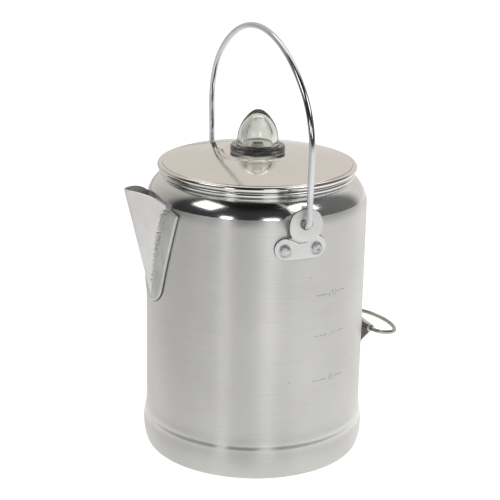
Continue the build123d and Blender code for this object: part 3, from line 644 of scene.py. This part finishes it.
def pot_finish(centres):
    """0 on the brushed wall, 1 on the polished shoulder, 2 in the stamped marks and pits."""
    radius = np.hypot(centres[:, 0], centres[:, 1])
    outer = radius > np.where(centres[:, 2] > SHOULDER_Z, 0, WALL_R - 0.5 * SHEET)
    finish = ((centres[:, 2] > POLISH_Z) & outer).astype(int)
    azimuth = np.degrees(np.arctan2(centres[:, 0], -centres[:, 1]))
    flat = np.stack([azimuth * WALL_R * pi / 180, centres[:, 2]], 1)
    # worn is only a noise mask that leaves gaps in the darker tint along the strokes.
    worn = np.array([noise.noise(Vector((u * 0.45, v * 1.1, 5.0))) for u, v in flat]) > -0.16
    away = np.full(len(centres), 9.0)
    for start, end, _ in stamped_strokes():
        start, end = np.array(start), np.array(end)
        run = end - start
        share = np.clip((flat - start) @ run / (run @ run), 0, 1)
        away = np.minimum(away, np.linalg.norm(flat - start - share[:, None] * run, axis=1))
    finish[(away < STROKE_TINT_REACH) & worn & outer] = 2
    for turn, height in PITS:
        near = np.linalg.norm(flat - (turn * WALL_R * pi / 180, height), axis=1) < PIT_TINT_REACH
        finish[near & outer] = 2
    return finish


piece("pot_shell", pot, [brushed, polished, stamped], "pot", ["pot_body"],
      pick=pot_finish)


# ---- Spout -------------------------------------------------------------------------

def wall_x(y, z, gap):
    """How far out the pot's wall or shoulder lies, plus a gap, at a sideways place and height."""
    rise = np.clip((z - SHOULDER_Z) / (SHOULDER_ROUND + gap), 0, 0.95)
    radius = WALL_R - SHOULDER_ROUND + (SHOULDER_ROUND + gap) * np.sqrt(1 - rise ** 2)
    return np.sqrt(np.clip(radius ** 2 - y ** 2, 1, None))


def vee_x(y, z, sheet):
    """How far out the V of the spout stands, moved in by a sheet."""
    rise = np.maximum(z - SPOUT_LOW_Z, -6)
    slant = 1 / sin(SPOUT_HALF_ANGLE)
    round_r = np.maximum(SPOUT_ROUND_RATE * rise, 0.02)
    nose = SPOUT_NOSE_LOW + SPOUT_NOSE_RATE * rise
    tip = nose + round_r * (slant - 1) - sheet * slant
    inner_round = np.maximum(round_r - sheet, 0.3)
    straight = tip - np.abs(y) / np.tan(SPOUT_HALF_ANGLE)
    centre = tip - inner_round * slant
    touch = inner_round * cos(SPOUT_HALF_ANGLE)
    rounded = centre + np.sqrt(np.clip(inner_round ** 2 - y ** 2, 0, None))
    return np.where(np.abs(y) < touch, rounded, straight)


def lip_z(x):
    """Height of the spout's lip line over a distance out."""
    return np.interp(x, LIP[:, 0], LIP[:, 1])


def three_point_arc(a, b, c, count):
    """Points on the circle through three flat points."""
    a, b, c = (complex(*p) for p in (a, b, c))
    w = (c - a) / (b - a)
    centre = (a - b) * (w - abs(w) ** 2) / (2j * w.imag) - a
    centre = -centre
    start, end = (np.angle(p - centre) for p in (a, c))
    turn = np.linspace(start, end, count)
    radius = abs(a - centre)
    return np.stack([centre.real + radius * np.cos(turn), centre.imag + radius * np.sin(turn)], 1)


LIP = three_point_arc((74.0, 194.2), (90.0, 206.3), (106.0, 209.2), 60)


def spout_shape():
    """The formed sheet: a V with a round nose, creased into a flange that lies on the pot."""
    half = 36.2
    tangent_y = FLANGE_ROUND * cos(FLANGE_LEAN)
    tangent_z = FLANGE_LOW_Z + FLANGE_ROUND * (1 - sin(FLANGE_LEAN))
    columns = np.linspace(-half, half, 241)
    rows = np.linspace(0, 1, 221)
    rounded = np.sqrt(np.clip(FLANGE_ROUND ** 2 - columns ** 2, 0, None))
    bottom = np.where(np.abs(columns) < tangent_y, FLANGE_LOW_Z + FLANGE_ROUND - rounded,
                      tangent_z + (np.abs(columns) - tangent_y) / np.tan(FLANGE_LEAN))
    y = np.repeat(columns[:, None], len(rows), 1)

    def outer(y, z):
        wall = wall_x(y, z, SPOUT_SHEET)
        vee = vee_x(y, z, 0.0)
        return soft_max(vee, wall, 1.3)

    def inner(y, z):
        return np.minimum(np.maximum(vee_x(y, z, SPOUT_SHEET), wall_x(y, z, 0.06)), outer(y, z) - 0.4)

    top = np.full(len(columns), 200.0)
    for _ in range(40):
        top = 0.5 * top + 0.5 * lip_z(outer(columns, top))
    top = np.maximum(top, bottom + 0.05)
    z = bottom[:, None] + (top - bottom)[:, None] * rows[None, :]
    out = outer(y, z)
    inn = inner(y, z)
    crease = np.abs(vee_x(y, z, 0.0) - wall_x(y, z, SPOUT_SHEET))
    height_share = smooth(z, 132, 178)
    rough = np.zeros_like(out)
    for i in range(out.shape[0]):
        for j in range(out.shape[1]):
            if crease[i, j] < 4.5:
                spot = Vector((y[i, j] * 0.75, z[i, j] * 0.75, 3.1))
                rough[i, j] = noise.fractal(spot, 1.0, 2.0, 3)
    out = out + rough * 0.5 * (1 - smooth(crease, 0.6, 3.4)) * (0.25 + 0.75 * height_share)
    border = np.stack([columns, bottom], 1)[::3]
    spots = np.stack([y.ravel(), z.ravel()], 1)
    edge = edge_distance(spots, [np.vstack([border, border[::-1]])]).reshape(y.shape)
    out = out + 0.34 * np.exp(-((edge - 1.5) / 0.75) ** 2) - 0.55 * (1 - smooth(edge, 0.0, 0.9))
    out = np.maximum(out, inn + 0.35)
    count = out.size
    outer_points = np.stack([-out.ravel(), -y.ravel(), z.ravel()], 1)
    inner_points = np.stack([-inn.ravel(), -y.ravel(), z.ravel()], 1)
    index = np.arange(count).reshape(out.shape)
    faces = []
    for i in range(out.shape[0] - 1):
        for j in range(out.shape[1] - 1):
            a, b, c, d = index[i, j], index[i + 1, j], index[i + 1, j + 1], index[i, j + 1]
            faces.append((a, b, c, d))
            faces.append((a + count, d + count, c + count, b + count))
    rim = list(index[:, 0]) + list(index[-1, 1:]) + list(index[-2::-1, -1]) + list(index[0, -2:0:-1])
    for a, b in zip(rim, rim[1:] + rim[:1]):
        faces.append((b, a, a + count, b + count))
    return shape(np.vstack([outer_points, inner_points]), faces)


def spout_finish(centres):
    """0 on the sheet, 1 along the weld in the crease, 2 a painted shadow line on the cut edge, 3 painted
    shade on the flange, 4 painted shade inside.
    """
    y, z = centres[:, 1], centres[:, 2]
    wall = wall_x(y, z, SPOUT_SHEET)
    crease = np.abs(vee_x(y, z, 0.0) - wall)
    outside = -centres[:, 0] > vee_x(y, z, 0.5 * SPOUT_SHEET)
    finish = np.zeros(len(centres), int)
    for index in np.flatnonzero((crease < 3.2) & outside & (z > 138)):
        spot = Vector(centres[index])
        grain = noise.noise(spot * 0.8) + 0.7 * noise.noise(spot * 2.1)
        finish[index] = crease[index] < 0.35 + 0.8 * smooth(z[index], 145, 175) + 1.1 * grain
    sunk = wall + centres[:, 0]
    lies_flat = vee_x(y, z, 0.0) < wall - 1.0
    # The flange lying on the wall takes the darker tone, painted shade.
    finish[lies_flat & (finish == 0) & (sunk > -0.16) & (sunk <= 0.42)] = 3
    # Where the flange's edge dips to the wall it is near-black: a painted shadow line.
    finish[lies_flat & (sunk > 0.42) & (sunk < 1.08)] = 2
    # The inside of the spout takes the darker tone, painted shade.
    finish[(-centres[:, 0] < vee_x(y, z, 0.75 * SPOUT_SHEET)) & (vee_x(y, z, 0.0) > wall + 1.5)] = 4
    return finish


piece("spout_sheet", spout_shape(), [satin, welded, painted_shadow, flange_painted_shade, throat_painted_shade], "pot",
      ["spout"], crease=50, pick=spout_finish)


# ---- Ears and rivets ---------------------------------------------------------------

def ear_loops():
    disc = arc((0, EAR_DISC_Z), EAR_DISC_R, -41, 221, 76)
    turn = np.arctan2(disc[:, 1] - EAR_DISC_Z, disc[:, 0])
    square = (np.abs(np.cos(turn)) ** 2.5 + np.abs(np.sin(turn)) ** 2.5) ** (-1 / 2.5)
    away = disc - (0, EAR_DISC_Z)
    disc = (0, EAR_DISC_Z) + away * (1 + (square - 1) * (turn > 0) * (turn < pi))[:, None]
    lobe_x, lobe_z = EAR_LOBE
    left = arc((-lobe_x, lobe_z), EAR_LOBE_R, 80, 270, 44)
    right = arc((lobe_x, lobe_z), EAR_LOBE_R, -90, 100, 44)
    bottom = np.stack([np.linspace(-lobe_x, lobe_x, 20), np.full(20, lobe_z - EAR_LOBE_R)], 1)
    outline = joined(disc, left, bottom, right)[:-1]
    eye = arc((0, EAR_EYE_Z), EAR_EYE_R, 0, 360, 49)[:-1]
    return [outline, eye]


def ear_heights(flat, behind):
    """How far out the ear's front, or its back, stands at each flat point."""
    x, z = flat[:, 0], flat[:, 1]
    foot = np.sqrt((WALL_R + EAR_SHEET) ** 2 - x ** 2) - behind
    step_top = 186.6 + 3.4 * smooth(np.abs(x), 1.0, 10.5)
    raised = smooth(z, step_top - 3.6, step_top + 0.2)
    face = EAR_FACE - behind - 0.25 * smooth(np.hypot(x, z - EAR_DISC_Z), 6, 13)
    out = foot + (face - foot) * raised
    if not behind:
        for side in (-1, 1):
            away = np.hypot(x - side * EAR_RIVET[0], z - EAR_RIVET[1])
            out -= 0.45 * (1 - smooth(away, 4.2, 5.6))
    return out


def ear_shape():
    def front(flat):
        return np.stack([flat[:, 0], -ear_heights(flat, 0), flat[:, 1]], 1)

    def back(flat):
        out = np.maximum(ear_heights(flat, EAR_SHEET), np.sqrt(WALL_R ** 2 - flat[:, 0] ** 2) + 0.03)
        return np.stack([flat[:, 0], -out, flat[:, 1]], 1)

    return plate(ear_loops(), 0.55, front, back, edge=0.45)


def rivet_shape(seat, tail_z, worn=0.0):
    """A rivet along Z: a hammered button head, its shank and a flat tail inside the pot.
    A worn head is beaten down in its middle."""
    head = joined([(0, seat + 1.88 - worn), (1.2, seat + 1.86 - 0.8 * worn)],
                  [(2.2, seat + 1.68), (2.9, seat + 1.36)],
                  [(3.35, seat + 0.95), (3.6, seat + 0.5), (3.66, seat + 0.12), (3.6, seat)],
                  [(2.0, seat), (2.0, tail_z)],
                  [(3.4, tail_z), (3.6, tail_z - 0.2), (3.5, tail_z - 0.9)],
                  [(2.6, tail_z - 1.1), (0, tail_z - 1.1)])
    rows = [head[0]]
    for a, b in zip(head, head[1:]):
        steps = max(1, ceil(np.linalg.norm(b - a) / 0.5))
        rows += [a + (b - a) * k / steps for k in range(1, steps + 1)]
    points, faces = lathe(np.array(rows)[::-1], np.arange(0, 360, 10))
    for point in points:
        if point[2] > seat + 0.3:
            shift = noise.noise(Vector(point) * 0.55 + Vector((seat, 0, 0)))
            point[2] += (0.10 + 0.3 * worn) * shift - 0.04
    return points, faces


def at_wall(made, turn, height):
    """A shape drawn along +Z from the axis, laid outwards at an azimuth from -Y to +X."""
    points, faces = made
    laid = np.stack([points[:, 0], -points[:, 2], points[:, 1] + height], 1)
    return turned((laid, faces), turn)


def ear_finish(centres):
    """0 on the plate, 1 near-black on its cut edge and at the foot of its step, painted shadow."""
    flat = centres[:, [0, 2]]
    x, z = np.abs(flat[:, 0]), flat[:, 1]
    # The cut edge goes near-black, a painted shadow outline.
    cut = edge_distance(flat, ear_loops()) < 0.06
    # A narrow band at the foot of the step goes near-black, a painted shadow line.
    step_shadow = (np.abs(z - (183.2 + 3.4 * smooth(x, 1.0, 10.5))) < 0.34) & (x < 11.0)
    return (cut | step_shadow).astype(int)


front_ear = ear_shape()
ear_rivets = merged(*[at_wall(rivet_shape(WALL_R + EAR_SHEET, WALL_R - SHEET - 0.1, worn),
                              side * degrees(asin(EAR_RIVET[0] / WALL_R)), EAR_RIVET[1])
                      for side, worn in ((-1, 0.1), (1, 0.75))])
for place, turn in (("front", 0), ("rear", 180)):
    piece(f"{place}_ear_plate", turned(front_ear, turn), [matte, painted_shadow], "pot",
          [f"{place}_ear"], crease=50, pick=ear_finish)
    piece(f"{place}_ear_buttons", turned(ear_rivets, turn), [rivet_metal], "pot",
          [f"{place}_ear_rivets"])


# ---- Bail --------------------------------------------------------------------------

def bail_path():
    """Half of the bail from its hooked end to its crown, mirrored, in (Y, Z)."""
    hook_y, leg_y, bend_z = 86.7, 95.5, 197.7
    bend = (leg_y - hook_y) / 2
    hook = np.stack([np.full(8, hook_y), np.linspace(210.3, bend_z + bend, 8)], 1)
    eye = arc((hook_y + bend, bend_z + bend), bend, 180, 360, 25)
    leg, heading = tangent_arc((leg_y, bend_z + bend), (0, 1), (96.6, 246.0), 24)
    crown = crown_start(leg[-1], heading, 58.0, 322.5)
    haunch, heading = tangent_arc(leg[-1], heading, crown, 30)
    top, _ = tangent_arc(haunch[-1], heading, (-crown[0], crown[1]), 60)
    half = joined(hook, eye, leg, haunch)
    other = half[::-1] * (-1, 1)
    path = joined(half, top, other)
    return np.stack([np.zeros(len(path)), path[:, 0], path[:, 1]], 1)


piece("bail_wire", sweep(bail_path(), BAIL_WIRE, sides=36), [chrome], "bail",
      ["bail_handle"])


# ---- Rear loop ---------------------------------------------------------------------

def loop_path():
    barrel = np.stack([np.zeros(12), np.linspace(0.7, 20.5, 12)], 1)
    turn_out, heading = tangent_arc((0, 20.5), (0, 1), (6.5, 27.3), 16)
    flank, heading = tangent_arc((6.5, 27.3), heading, (22.5, 18.0), 22)
    nose, _ = tangent_arc((22.5, 18.0), heading, (22.5, -18.0), 40)
    half = joined(barrel, turn_out, flank)
    flat = joined(half, nose, half[::-1] * (1, -1))
    droop = radians(11.5)
    return np.stack([LOOP_PIVOT[0] + flat[:, 0] * cos(droop), flat[:, 1],
                     LOOP_PIVOT[1] - flat[:, 0] * sin(droop)], 1)


piece("rear_loop_wire", sweep(loop_path(), LOOP_WIRE, sides=28), [plated], "tipping_loop",
      ["rear_loop"])


def bracket_shape():
    """The strap's two leaves and the barrel that the loop turns in."""
    wall = WALL_R + 0.05
    sheet = 1.4

    def leaf(rows, wide, profile):
        rows, wide = np.array(rows), np.array(wide)
        heights = np.linspace(rows[0], rows[-1], 40)
        width = np.interp(heights, rows, wide)
        loop = np.vstack([np.stack([width, heights], 1), np.stack([-width, heights], 1)[::-1]])

        def front(flat):
            return np.stack([profile(flat[:, 1]) + sheet, flat[:, 0], flat[:, 1]], 1)

        def back(flat):
            return np.stack([profile(flat[:, 1]), flat[:, 0], flat[:, 1]], 1)

        return plate([loop], 0.9, front, back, edge=0.4)

    def lower(z):
        return wall + (90.5 - wall) * smooth(z, 73.5, 82.4) ** 1.1

    def upper(z):
        return wall + (91.3 - wall) * smooth(-z, -92.8, -84.6) ** 1.1

    low_leaf = leaf((62.0, 62.6, 64.0, 74.5, 81.6), (5.0, 7.0, 9.0, 19.6, 19.8), lower)
    high_leaf = leaf((86.0, 91.5, 104.0, 105.4, 106.0), (19.8, 19.6, 9.0, 7.0, 5.0), upper)
    tube = np.array([(1.68, -19.4), (1.9, -19.8), (2.9, -19.8), (3.1, -19.5), (3.1, 19.5), (2.9, 19.8),
                     (1.9, 19.8), (1.68, 19.4)])
    rows = [tube[0]]
    for a, b in zip(tube, np.roll(tube, -1, 0)):
        steps = max(1, ceil(np.linalg.norm(b - a) / 1.5))
        rows += [a + (b - a) * k / steps for k in range(1, steps + 1)]
    points, faces = lathe(np.array(rows[:-1]), np.arange(0, 360, 9), closed=True)
    laid = np.stack([points[:, 0] + LOOP_PIVOT[0], points[:, 2], points[:, 1] + LOOP_PIVOT[1]], 1)
    barrel = (laid, facing_out(laid, faces))
    leaves = [(made[0], facing_out(*made)) for made in (low_leaf, high_leaf)]
    return merged(*leaves, barrel)


piece("loop_strap", bracket_shape(), [matte], "pot", ["loop_bracket"], crease=45)
strap_rivets = merged(*[at_wall(rivet_shape(WALL_R + 1.45, WALL_R - SHEET - 0.1), 90, height)
                        for height in (68.0, 98.5)])
piece("strap_buttons", strap_rivets, [rivet_metal], "pot", ["loop_bracket_rivets"])


# ---- Lid ---------------------------------------------------------------------------

DOME_R, DOME_TOP = 324.0, 229.9
BOSS_Z = 229.6


def dome_z(radius, sheet=0.0):
    return DOME_TOP - DOME_R + np.sqrt((DOME_R - sheet) ** 2 - radius ** 2)


def lid_shape():
    """The spun cover with its rolled edge, the boss and the notched hole for the knob."""
    sheet = 0.9
    radii = np.linspace(70.9, 30.5, 44)
    top_of_slope = dome_z(28.0)
    slope = [(r, top_of_slope + (BOSS_Z - top_of_slope) * float(smooth(-r, -29.5, -24.5)))
             for r in np.linspace(29.7, 24.3, 12)]
    boss = [(r, BOSS_Z) for r in (23.0, 21.0, 19.5, 18.0, 16.0, 14.6)]
    outside = joined([(r, float(dome_z(r))) for r in radii], slope, boss)
    under = moved_in(outside, sheet)[::-1]
    if under[:, 1].mean() > outside[:, 1].mean():
        under = moved_in(outside, -sheet)[::-1]
    bead = arc((72.6, 219.7), 2.2, 146, -200, 40)
    outline = joined(outside, [(14.4, 229.4), (14.4, 228.9)], under, bead[::-1])
    points, faces = lathe(outline, np.arange(0, 360, 2.0), closed=True)
    radius = np.hypot(points[:, 0], points[:, 1])
    azimuth = np.arctan2(points[:, 0], -points[:, 1])
    notch = np.where(np.abs(np.sin(azimuth)) * 17.6 < 4.0, 17.6, 14.4)
    grown = radius + (notch - 14.4) * (1 - smooth(radius, 14.4, 22.0))
    points[:, :2] *= (grown / np.maximum(radius, 1))[:, None]
    return points, faces


piece("lid_cover", lid_shape(), [lid_metal], "lid", ["lid_shell"], crease=45)


# ---- Glass knob --------------------------------------------------------------------

KNOB_SIDE_Z = 238.0


def bullet(radius, start_z, top_z, haunch, count):
    """A round-nosed outline from a straight side up to the axis."""
    side = np.stack([np.full(5, radius), np.linspace(start_z, KNOB_SIDE_Z, 5)], 1)
    join = crown_start((radius, KNOB_SIDE_Z), (0, 1), haunch, top_z)
    shoulder, heading = tangent_arc((radius, KNOB_SIDE_Z), (0, 1), join, count)
    crown, _ = tangent_arc(join, heading, (0, top_z), count)
    return joined(side, shoulder, crown)


def knob_shape():
    outer = bullet(15.5, 236.6, 261.5, 28.0, 26)
    bore = bullet(10.9, 222.3, 256.2, 24.0, 26)
    foot = joined(arc((17.0, 236.4), 1.5, 180, 262, 6), [(17.6, 235.1)], arc((18.4, 233.1), 2.1, 78, 0, 8),
                  [(20.5, 231.4)], arc((19.3, 230.9), 1.2, 0, -90, 7), [(14.0, 229.7)])
    neck = joined([(14.0, 228.6), (14.0, 222.4), (13.6, 222.0), (11.3, 222.0), (10.9, 222.3)])
    outline = joined(outer[::-1], foot, neck, bore)
    points, faces = lathe(outline, np.arange(0, 360, 3.0))
    azimuth = np.degrees(np.arctan2(points[:, 1], points[:, 0]))
    radius = np.hypot(points[:, 0], points[:, 1])
    in_lug = (np.abs(np.abs(np.abs(azimuth) - 90) - 90) < 12.5)
    level = smooth(points[:, 2], 224.9, 225.6) * (1 - smooth(points[:, 2], 228.2, 228.7))
    near_outside = smooth(radius, 13.2, 13.9) * (radius < 14.5)
    grown = radius + 3.0 * in_lug * level * near_outside
    points[:, :2] *= (grown / np.maximum(radius, 1e-6))[:, None]
    return points, faces


piece("glass_dome", knob_shape(), [clear], "knob", ["glass_knob"], crease=60)


# ---- Inside parts ------------------------------------------------------------------

for name in ("stem_tube", "pump_foot", "stem_stop_collar", "basket_shell", "basket_hub",
             "spreader_plate", "spreader_guide", "lid_skirt"):
    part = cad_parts[name]
    part.material_slots[0].link = "OBJECT"
    part.material_slots[0].material = polished if name == "lid_skirt" else plain


# ---- Camera, floor and light -------------------------------------------------------

def make_camera():
    heading, pitch, roll = radians(22.53), radians(17.92), radians(1.14)
    forward = Vector((sin(heading) * cos(pitch), cos(heading) * cos(pitch), -sin(pitch)))
    level = Vector((cos(heading), -sin(heading), 0))
    above = level.cross(forward)
    right = level * cos(roll) + above * sin(roll)
    up = above * cos(roll) - level * sin(roll)
    data = bpy.data.cameras.new("camera")
    data.sensor_width = 36.0
    data.lens = 104.94
    camera = bpy.data.objects.new("camera", data)
    bpy.context.scene.collection.objects.link(camera)
    camera.matrix_world = Matrix((
        (right.x, up.x, -forward.x, -0.4089),
        (right.y, up.y, -forward.y, -0.9747),
        (right.z, up.z, -forward.z, 0.4938),
        (0, 0, 0, 1)))
    bpy.context.scene.camera = camera


make_camera()
VIEW_AZIMUTH = -22.8


def toward(azimuth, elevation, distance):
    """A place seen from the pot at an azimuth to the right of the camera, and an elevation."""
    turn, rise = radians(VIEW_AZIMUTH + azimuth), radians(elevation)
    return Vector((sin(turn) * cos(rise), -cos(turn) * cos(rise), sin(rise))) * distance


def softbox(name, azimuth, elevation, distance, wide, tall, radiance, aim=(0, 0, 0.12)):
    data = bpy.data.lights.new(name, "AREA")
    data.shape = "RECTANGLE"
    data.size, data.size_y = wide, tall
    data.energy = radiance * pi * wide * tall
    lamp = bpy.data.objects.new(name, data)
    bpy.context.scene.collection.objects.link(lamp)
    target = Vector(aim)
    lamp.location = target + toward(azimuth, elevation, distance)
    lamp.rotation_euler = (target - lamp.location).to_track_quat("-Z", "Y").to_euler()
    return lamp


softbox("left_low", -30.5, 21, 2.0, 0.36, 0.42, 4.1)
softbox("right_low", 15.5, 21, 2.0, 0.50, 0.42, 3.3)
softbox("left_high", -68, 50, 2.0, 0.75, 0.7, 2.1)
softbox("right_high", 64, 50, 2.0, 0.75, 0.85, 2.4)
softbox("behind", 180, 64, 2.4, 2.6, 1.1, 1.0)


def seen_directly(tree):
    """1 for what the camera sees itself, 0 for what lights, reflects or shines through glass."""
    return node(tree, "LightPath").outputs["Is Camera Ray"]


floor_mesh = bpy.data.meshes.new("floor")
half = 12.0
floor_z = -0.0002
floor_mesh.from_pydata([(-half, -half, floor_z), (half, -half, floor_z), (half, half, floor_z),
                        (-half, half, floor_z)], [], [(0, 1, 2, 3)])
floor = bpy.data.objects.new("floor", floor_mesh)
bpy.context.scene.collection.objects.link(floor)
paper = bpy.data.materials.new("paper")
paper.use_nodes = True
paper_shader = paper.node_tree.nodes["Principled BSDF"]
paper_shader.inputs["Base Color"].default_value = (0.86, 0.86, 0.86, 1)
paper_shader.inputs["Roughness"].default_value = 1.0
paper_shader.inputs["Specular IOR Level"].default_value = 0.0
paper_shader.inputs["Emission Color"].default_value = (1, 1, 1, 1)
sheet_tree = paper.node_tree
spot = node(sheet_tree, "TexCoord").outputs["Object"]
aside = node(sheet_tree, "VectorMath", {0: spot, 1: tuple(toward(90, 0, 1))},
             operation="DOT_PRODUCT").outputs["Value"]
glow = node(sheet_tree, "MapRange", {"Value": aside, "From Min": -0.45, "From Max": 0.05,
                                     "To Min": 0.24, "To Max": 0.56}).outputs["Result"]
strength = node(sheet_tree, "Mix", {0: seen_directly(sheet_tree), 2: glow, 3: 0.9},
                data_type="FLOAT").outputs[0]
sheet_tree.links.new(strength, paper_shader.inputs["Emission Strength"])
floor_mesh.materials.append(paper)

world = bpy.data.worlds.new("studio")
bpy.context.scene.world = world
world.use_nodes = True
tree = world.node_tree
tree.nodes.clear()
direction = node(tree, "TexCoord").outputs["Generated"]
front_way = toward(0, 0, 1)
side_way = toward(90, 0, 1)
facing, sideways = (
    node(tree, "VectorMath", {0: direction, 1: tuple(way)}, operation="DOT_PRODUCT").outputs["Value"]
    for way in (front_way, side_way))
bearing = node(tree, "Math", {0: sideways, 1: facing}, operation="ARCTAN2").outputs[0]
share = node(tree, "MapRange", {"Value": bearing, "From Min": -pi, "From Max": pi}).outputs["Result"]
ramp = node(tree, "ValToRGB", {"Fac": share})
WALLS = ((-180, (0.69, 0.66, 0.62)), (-150, (0.60, 0.58, 0.54)),
         (-112, (0.36, 0.35, 0.33)), (-98, (0.03, 0.031, 0.033)),
         (52, (0.03, 0.031, 0.033)), (78, (0.13, 0.13, 0.135)), (122, (0.16, 0.16, 0.16)),
         (138, (0.70, 0.68, 0.65)), (180, (0.69, 0.66, 0.62)))
stops = ramp.color_ramp.elements
while len(stops) < len(WALLS):
    stops.new(0.5)
for stop, (angle, colour) in zip(stops, WALLS):
    stop.position = (angle + 180) / 360
    stop.color = (*colour, 1)
rise = node(tree, "SeparateXYZ", {0: direction}).outputs["Z"]
ceiling = node(tree, "MapRange", {"Value": rise, "From Min": 0.72, "From Max": 0.88,
                                  "To Min": 1.0, "To Max": 0.25}).outputs["Result"]
lit = node(tree, "Background", {"Color": ramp.outputs["Color"], "Strength": ceiling})
seen = node(tree, "Background", {"Color": (1, 1, 1, 1), "Strength": 1.0})
both = node(tree, "MixShader", {0: seen_directly(tree), 1: lit.outputs[0], 2: seen.outputs[0]})
node(tree, "OutputWorld", {0: both.outputs[0]})

bpy.context.scene.view_settings.view_transform = "Standard"
